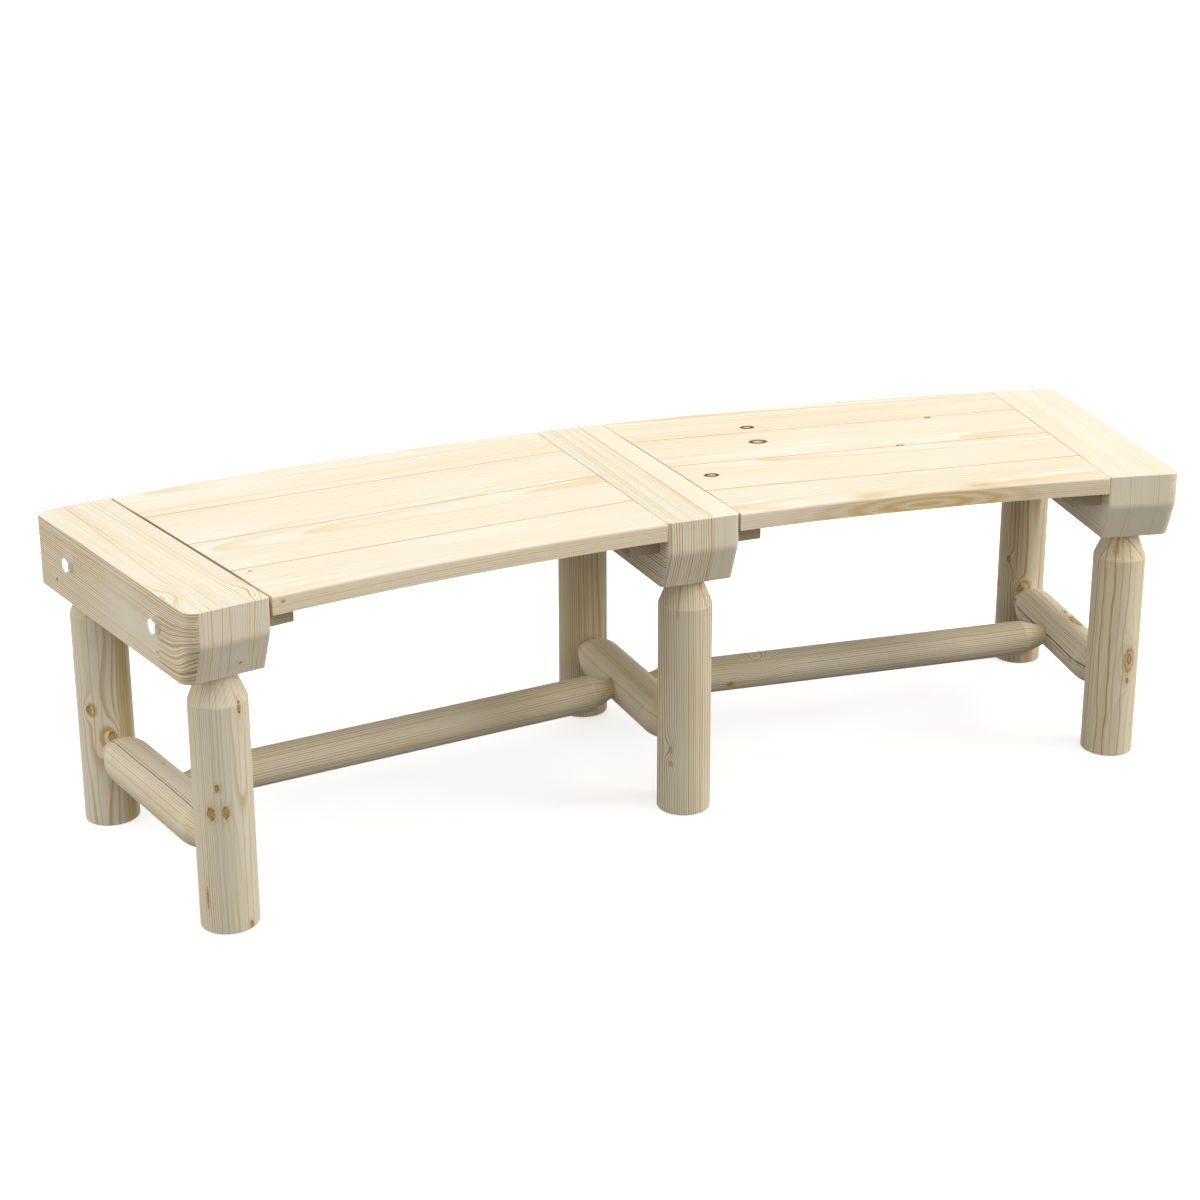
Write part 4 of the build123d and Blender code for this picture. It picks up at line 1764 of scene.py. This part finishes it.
    def cross_grain(self, side: Side) -> Grain:
        """How each cross log grew, with its check, its pitch lines and its knot.

        Args:
            side: Its beam.

        Returns:
            Its grain.
        """
        rows = {
            Side.LEFT: ((math.radians(62), -0.15, 0.17, 0.9), (0.30, -0.2, 0.2, 1.2, 1.5, 0.5, True)),
            Side.CENTRE: ((0.45, -0.2, 0.2, 1.0, 1.5, 0.35), (1.2, -0.2, 0.2, 0.8, 1.5, 0.5, True)),
            Side.RIGHT: ((0.19, -0.2, 0.2, 1.9, 3, 0.75), (0.06, -0.2, 0.2, 0.9, 3, 0.5),
                         (1.25, -0.2, 0.2, 0.8, 1.5, 0.5, True)),
        }[side]
        knots = (
            Knot((-0.0285, -0.0086, 0.0324), (0, -0.26, 0.97), 8 * MM, 2.2, 8 * MM, 2.4, 0.7, halo=1.0),
            Knot((0.0136, -0.0075, 0.0326), (0, -0.22, 0.97), 2.2 * MM, 1.6, 2 * MM, 2.6, 0.9),
        ) if side is Side.RIGHT else ()
        return Grain(pith=(0.15, -0.12), tilt=(0.01, 0.01), ring=3.0 * MM, warp=2.0 * MM, uneven=0.9,
                     seed=41.0 + side.value, contrast=1.2, knots=knots, streaks=self.streaks(*rows))

    @staticmethod
    def streaks(*rows: tuple[float, ...]) -> tuple[Streak, ...]:
        """Streaks from rows of a Streak's fields in their order, width and wander in millimetres."""
        return tuple(Streak(*row[:3], *(size * MM for size in row[3:5]), *row[5:]) for row in rows)

    def build_long(self, bay: Side) -> None:
        """Make and dress one long log.

        Args:
            bay: Its bay.
        """
        outline = self.outline(self.long_half(), self.long_radius, (self.long_taper, self.long_rounding),
                               self.long_tenon_radius, self.long_ends(bay))
        knots = (
            Knot((-0.1627, -0.0155, 0.0216), (0, -0.58, 0.81), 7 * MM, 1.3, 20 * MM, 2.6, 0.0),
            Knot((-0.2095, -0.0254, -0.008), (0, -0.95, -0.3), 3.2 * MM, 1.7, 4 * MM, 2.6, 0.9),
        ) if bay is Side.RIGHT else ()
        lines = self.streaks((math.radians(128), -0.4, 0.4, 0.9, 3, 0.5, True),
                             (math.radians(196), -0.4, 0.4, 1.1, 3, 0.6, True))
        grain = Grain(pith=(-0.16, -0.20), tilt=(0.01, 0.01), ring=3.2 * MM, warp=2.0 * MM, warp_length=0.5,
                      uneven=0.9, seed=51.0 + bay.value, contrast=1.2, amber=0.4, knots=knots, streaks=lines)
        self.shop.turn(f"long_log_{bay.word}", f"long_stretcher_{bay.word}", outline, self.long_frame(bay),
                       (LOG_PINE, grain), 30.0 + bay.value)


@dataclass
class Hardware:
    """Hex bolts with their washers and nuts, plank screws under the cleats, and sunk tenon pins."""

    shop: Workshop
    beams: Beams
    stretchers: Stretchers
    flats: float = 20 * MM
    crown_share: float = 0.93
    crown_slope: float = 0.55
    hex_points: int = 72
    head: float = 7.5 * MM
    shank: float = 6 * MM
    shank_in_head: float = 1 * MM
    washer_radius: float = 13 * MM
    washer_thickness: float = 2.5 * MM
    nut: float = 10 * MM
    past_nut: float = 4 * MM
    pin_sink: float = 10.2 * MM
    pin_head: float = 2.8 * MM
    pin_length: float = 30 * MM
    screw_head: float = 4 * MM
    screw_length: float = 42 * MM
    screw_tip: float = 4 * MM
    screw_shares: tuple[float, float] = (0.3, 0.72)
    screw_margin: float = 40 * MM
    edge_margin: float = 12 * MM
    row_in_cleat: float = 0.55

    def build(self) -> None:
        """Make and dress all the fasteners."""
        bolts = {side: self.beams.bolt_frames(side) for side in Side}
        for side, places in bolts.items():
            self.shop.fit(f"hex_bolts_{side.word}", self.bolt(side), places, f"bolts_{side.word}")
        seats = [bolt @ Matrix.Translation((0, 0, self.beams.grip(side)))
                 for side, places in bolts.items() for bolt in places]
        washer = round_bar(X_TO_Z, self.washer_radius, 0.0, self.washer_thickness)
        self.shop.fit("washers", washer, seats, "bolt_washers")
        over = Matrix.Translation((0, 0, self.washer_thickness))
        nut = self.hex_block(0.0, self.nut, "nut")
        self.shop.fit("nuts", nut, [seat @ over for seat in seats], "bolt_nuts", spin=math.pi / 3, seed=4)
        holes = [hole for side in Side for hole in self.beams.pin_frames(side)]
        holes += [self.stretchers.pin_frame(side) for side in Side]
        sunk = Matrix.Translation((0, 0, self.pin_sink)) @ FLIP
        pin = self.screw(self.pin_head, self.pin_length)
        self.shop.fit("tenon_pins", pin, [hole @ sunk for hole in holes], spin=math.pi, seed=2)
        screw = self.screw(self.screw_head, self.screw_length)
        self.shop.fit("plank_screws", screw, self.plank_screw_frames(), spin=math.pi, seed=3)

    def hexagon(self, z: float, limit: float, slope: float = 0.0) -> Level:
        """A hexagonal outline, with two of its corners along X.

        Args:
            z: Its height.
            limit: The radius that nothing passes.
            slope: How far the outline falls for each metre outside the crown.

        Returns:
            The outline.
        """
        points = []
        for turn in (2 * math.pi * k / self.hex_points for k in range(self.hex_points)):
            across = (turn + math.pi / 6) % (math.pi / 3) - math.pi / 6
            radius = min(self.flats / 2 / math.cos(math.pi / 6 - abs(across)), limit)
            drop = max(0.0, radius - self.flats / 2 * self.crown_share) * slope
            points.append(Vector((radius * math.cos(turn), radius * math.sin(turn), z - drop)))
        return Level(points)

    def hex_block(self, low: float, high: float, name: str) -> bpy.types.Mesh:
        """A hexagonal block with its crowned corners turned down.

        Args:
            low: Its flat seat.
            high: Its crowned end, above or below the seat.
            name: The mesh's name.

        Returns:
            The mesh.
        """
        slope = math.copysign(self.crown_slope, high - low)
        crown = self.flats / 2 * self.crown_share
        return loft(name, [self.hexagon(low, 1.0), self.hexagon(high, 1.0, slope), self.hexagon(high, crown)])

    def bolt(self, side: Side) -> bpy.types.Mesh:
        """A bolt of a beam.

        Args:
            side: The beam.

        Returns:
            The mesh, its head below the XY plane and its shank up along Z.
        """
        end = self.beams.grip(side) + self.washer_thickness + self.nut + self.past_nut - self.shank_in_head
        shank = round_bar(X_TO_Z, self.shank, -self.shank_in_head, end)
        return fill(bpy.data.meshes.new("bolt"), [self.hex_block(0.0, -self.head, "head"), shank])

    def screw(self, head: float, length: float) -> bpy.types.Mesh:
        """A pan-headed wood screw with a cross recess, its head above the XY plane and its shank below.

        Args:
            head: The head's radius.
            length: The shank's length.

        Returns:
            The mesh.
        """
        corners = [
            (-length, 0.0, 0.0), (-length + self.screw_tip, 0.45 * head, 0.0), (0.0, 0.5 * head, 0.0),
            (0.0, head, 0.2 * MM), (0.55 * head, 0.82 * head, 0.3 * head), (0.62 * head, 0.0, 0.0),
        ]
        levels = [circle(X_TO_Z, x, max(radius, 0.02 * MM), PIN_SIDES) for x, radius, _ in eased(corners, 3)]
        thing = new_object("screw", loft("screw", levels))
        x, y, bottom, top = (share * head for share in (0.575, 0.11, 0.27, 0.97))
        for turn in (Matrix.Identity(4), Matrix.Rotation(QUARTER, 4, "Z")):
            slot = [[turn @ Vector(spot) for spot in ((-x, -y, z), (x, -y, z), (x, y, z), (-x, y, z))]
                    for z in (bottom, top)]
            drill(thing, [loft("slot", [Level(points) for points in slot])])
        mesh = thing.data
        bpy.data.objects.remove(thing)
        return mesh

    def plank_screw_frames(self) -> list[Matrix]:
        """Frames of the screws up through the cleats, two to each plank end.

        Returns:
            The frames, with Z down on the cleats' undersides.
        """
        plan = self.shop.plan
        edges = (self.edge_margin, *Seat(self.shop).seams, plan.depth - self.edge_margin)
        places = []
        for bay in BAYS:
            for beam, toward in ((bay, -bay.value), (Side.CENTRE, bay.value)):
                across = toward * (plan.face_offset(beam, toward) + plan.cleat_width * self.row_in_cleat)
                for low, high in zip(edges, edges[1:]):
                    for share in self.screw_shares:
                        reach = min(plan.depth - self.screw_margin, low + (high - low) * share)
                        reach = max(self.screw_margin, reach)
                        places.append(plan.at(beam, across, reach, plan.cleat_underside) @ FLIP)
        return places


@dataclass
class Studio:
    """A plain pale floor, soft light from above and all round, and the camera."""

    focal: float = 2125.39
    frame: float = 1200.0
    centre: tuple[float, float] = (613.04, 461.44)
    eye: Triple = (-1.19034, -2.65984, 1.35682)
    azimuth: float = 0.40578
    elevation: float = 0.29408
    roll: float = -0.000725
    sensor: float = 36.0
    farthest: float = 300.0
    sky_strength: float = 0.74
    floor_half: float = 150.0
    floor_height: float = -0.5 * MM
    floor_glow: float = 0.55
    light_reach: float = 8.0

    def build(self) -> None:
        """Set the stage."""
        self.build_floor()
        self.build_sky()
        self.area("right_key", 285.0, 4.0, Vector((0.32, -0.16, 0.13)).normalized() * self.light_reach)
        self.area("left_fill", 115.0, 4.0, Vector((-1.0, -0.1, 0.22)).normalized() * self.light_reach)
        self.area("overhead", 106.0, 6.0, Vector((0.0, 0.0, 6.0)), (0.90, 1.0, 1.14))
        self.build_camera()
        bpy.context.scene.view_settings.view_transform = "Standard"

    def build_floor(self) -> None:
        """Lay a wide pale floor that throws no light back under the bench."""
        half = self.floor_half
        mesh = bpy.data.meshes.new("floor")
        corners = [(-half, -half), (half, -half), (half, half), (-half, half)]
        mesh.from_pydata([(x, y, self.floor_height) for x, y in corners], [], [(0, 1, 2, 3)])
        floor = new_object("floor", mesh)
        floor.visible_diffuse = False
        material = bpy.data.materials.new("pale_floor")
        material.use_nodes = True
        inputs = {"Base Color": (0.93, 0.93, 0.93, 1), "Roughness": 0.9, "Specular IOR Level": 0.1,
                  "Emission Color": (1, 1, 1, 1), "Emission Strength": self.floor_glow}
        for name, value in inputs.items():
            material.node_tree.nodes["Principled BSDF"].inputs[name].default_value = value
        mesh.materials.append(material)

    def build_sky(self) -> None:
        """Light the stage with an even sky, a little bluer overhead and dark below the horizon."""
        world = bpy.data.worlds.new("even_sky")
        world.use_nodes = True
        g = Graph(world.node_tree)
        height = g.parts(g.add("ShaderNodeTexCoord", output="Generated"))[2]
        sky = g.mix(g.step(0.0, 0.9, height), (1.0, 0.965, 0.90), (1.0, 1.01, 1.06))
        inputs = world.node_tree.nodes["Background"].inputs
        g.feed(inputs["Color"], g.mix(g.step(-0.03, -0.004, height), (0.02, 0.016, 0.012), sky))
        inputs["Strength"].default_value = self.sky_strength
        bpy.context.scene.world = world

    def area(
        self, name: str, power: float, size: float, spot: Vector, tint: Triple = (1.0, 1.0, 1.0)
    ) -> None:
        """Hang one soft square light that points at the bench.

        Args:
            name: The light's name.
            power: Its power in watts.
            size: Its width.
            spot: Where it hangs.
            tint: Its colour.
        """
        light = bpy.data.lights.new(name, "AREA")
        light.energy, light.color, light.size = power, tint, size
        lamp = bpy.data.objects.new(name, light)
        lamp.location = spot
        lamp.rotation_euler = (Vector((0, 0, 0.3)) - spot).to_track_quat("-Z", "Y").to_euler()
        bpy.context.scene.collection.objects.link(lamp)

    def build_camera(self) -> None:
        """Stand the camera."""
        camera = bpy.data.cameras.new("camera")
        stand = bpy.data.objects.new("camera", camera)
        level = Vector((math.sin(self.azimuth), math.cos(self.azimuth), 0))
        look = level * math.cos(self.elevation) - Vector((0, 0, math.sin(self.elevation)))
        right = Vector((math.cos(self.azimuth), -math.sin(self.azimuth), 0))
        up = right.cross(look)
        turned_right = right * math.cos(self.roll) + up * math.sin(self.roll)
        turned_up = up * math.cos(self.roll) - right * math.sin(self.roll)
        turn = Matrix((turned_right, turned_up, -look)).transposed()
        stand.matrix_world = Matrix.Translation(self.eye) @ turn.to_4x4()
        camera.sensor_width, camera.clip_end = self.sensor, self.farthest
        camera.lens = self.focal / self.frame * self.sensor
        camera.shift_x = (self.frame / 2 - self.centre[0]) / self.frame
        camera.shift_y = (self.centre[1] - self.frame / 2) / self.frame
        bpy.context.scene.collection.objects.link(stand)
        bpy.context.scene.camera = stand


def main() -> None:
    """Build the bench piece by piece, then its studio."""
    logging.basicConfig(level=logging.INFO, format="%(name)s %(message)s")
    shop = Workshop()
    beams, stretchers = Beams(shop), Stretchers(shop)
    hardware = Hardware(shop, beams, stretchers)
    for assembly in (beams, Seat(shop), Cleats(shop), Legs(shop), stretchers, hardware, Studio()):
        assembly.build()


if __name__ == "__main__":
    main()
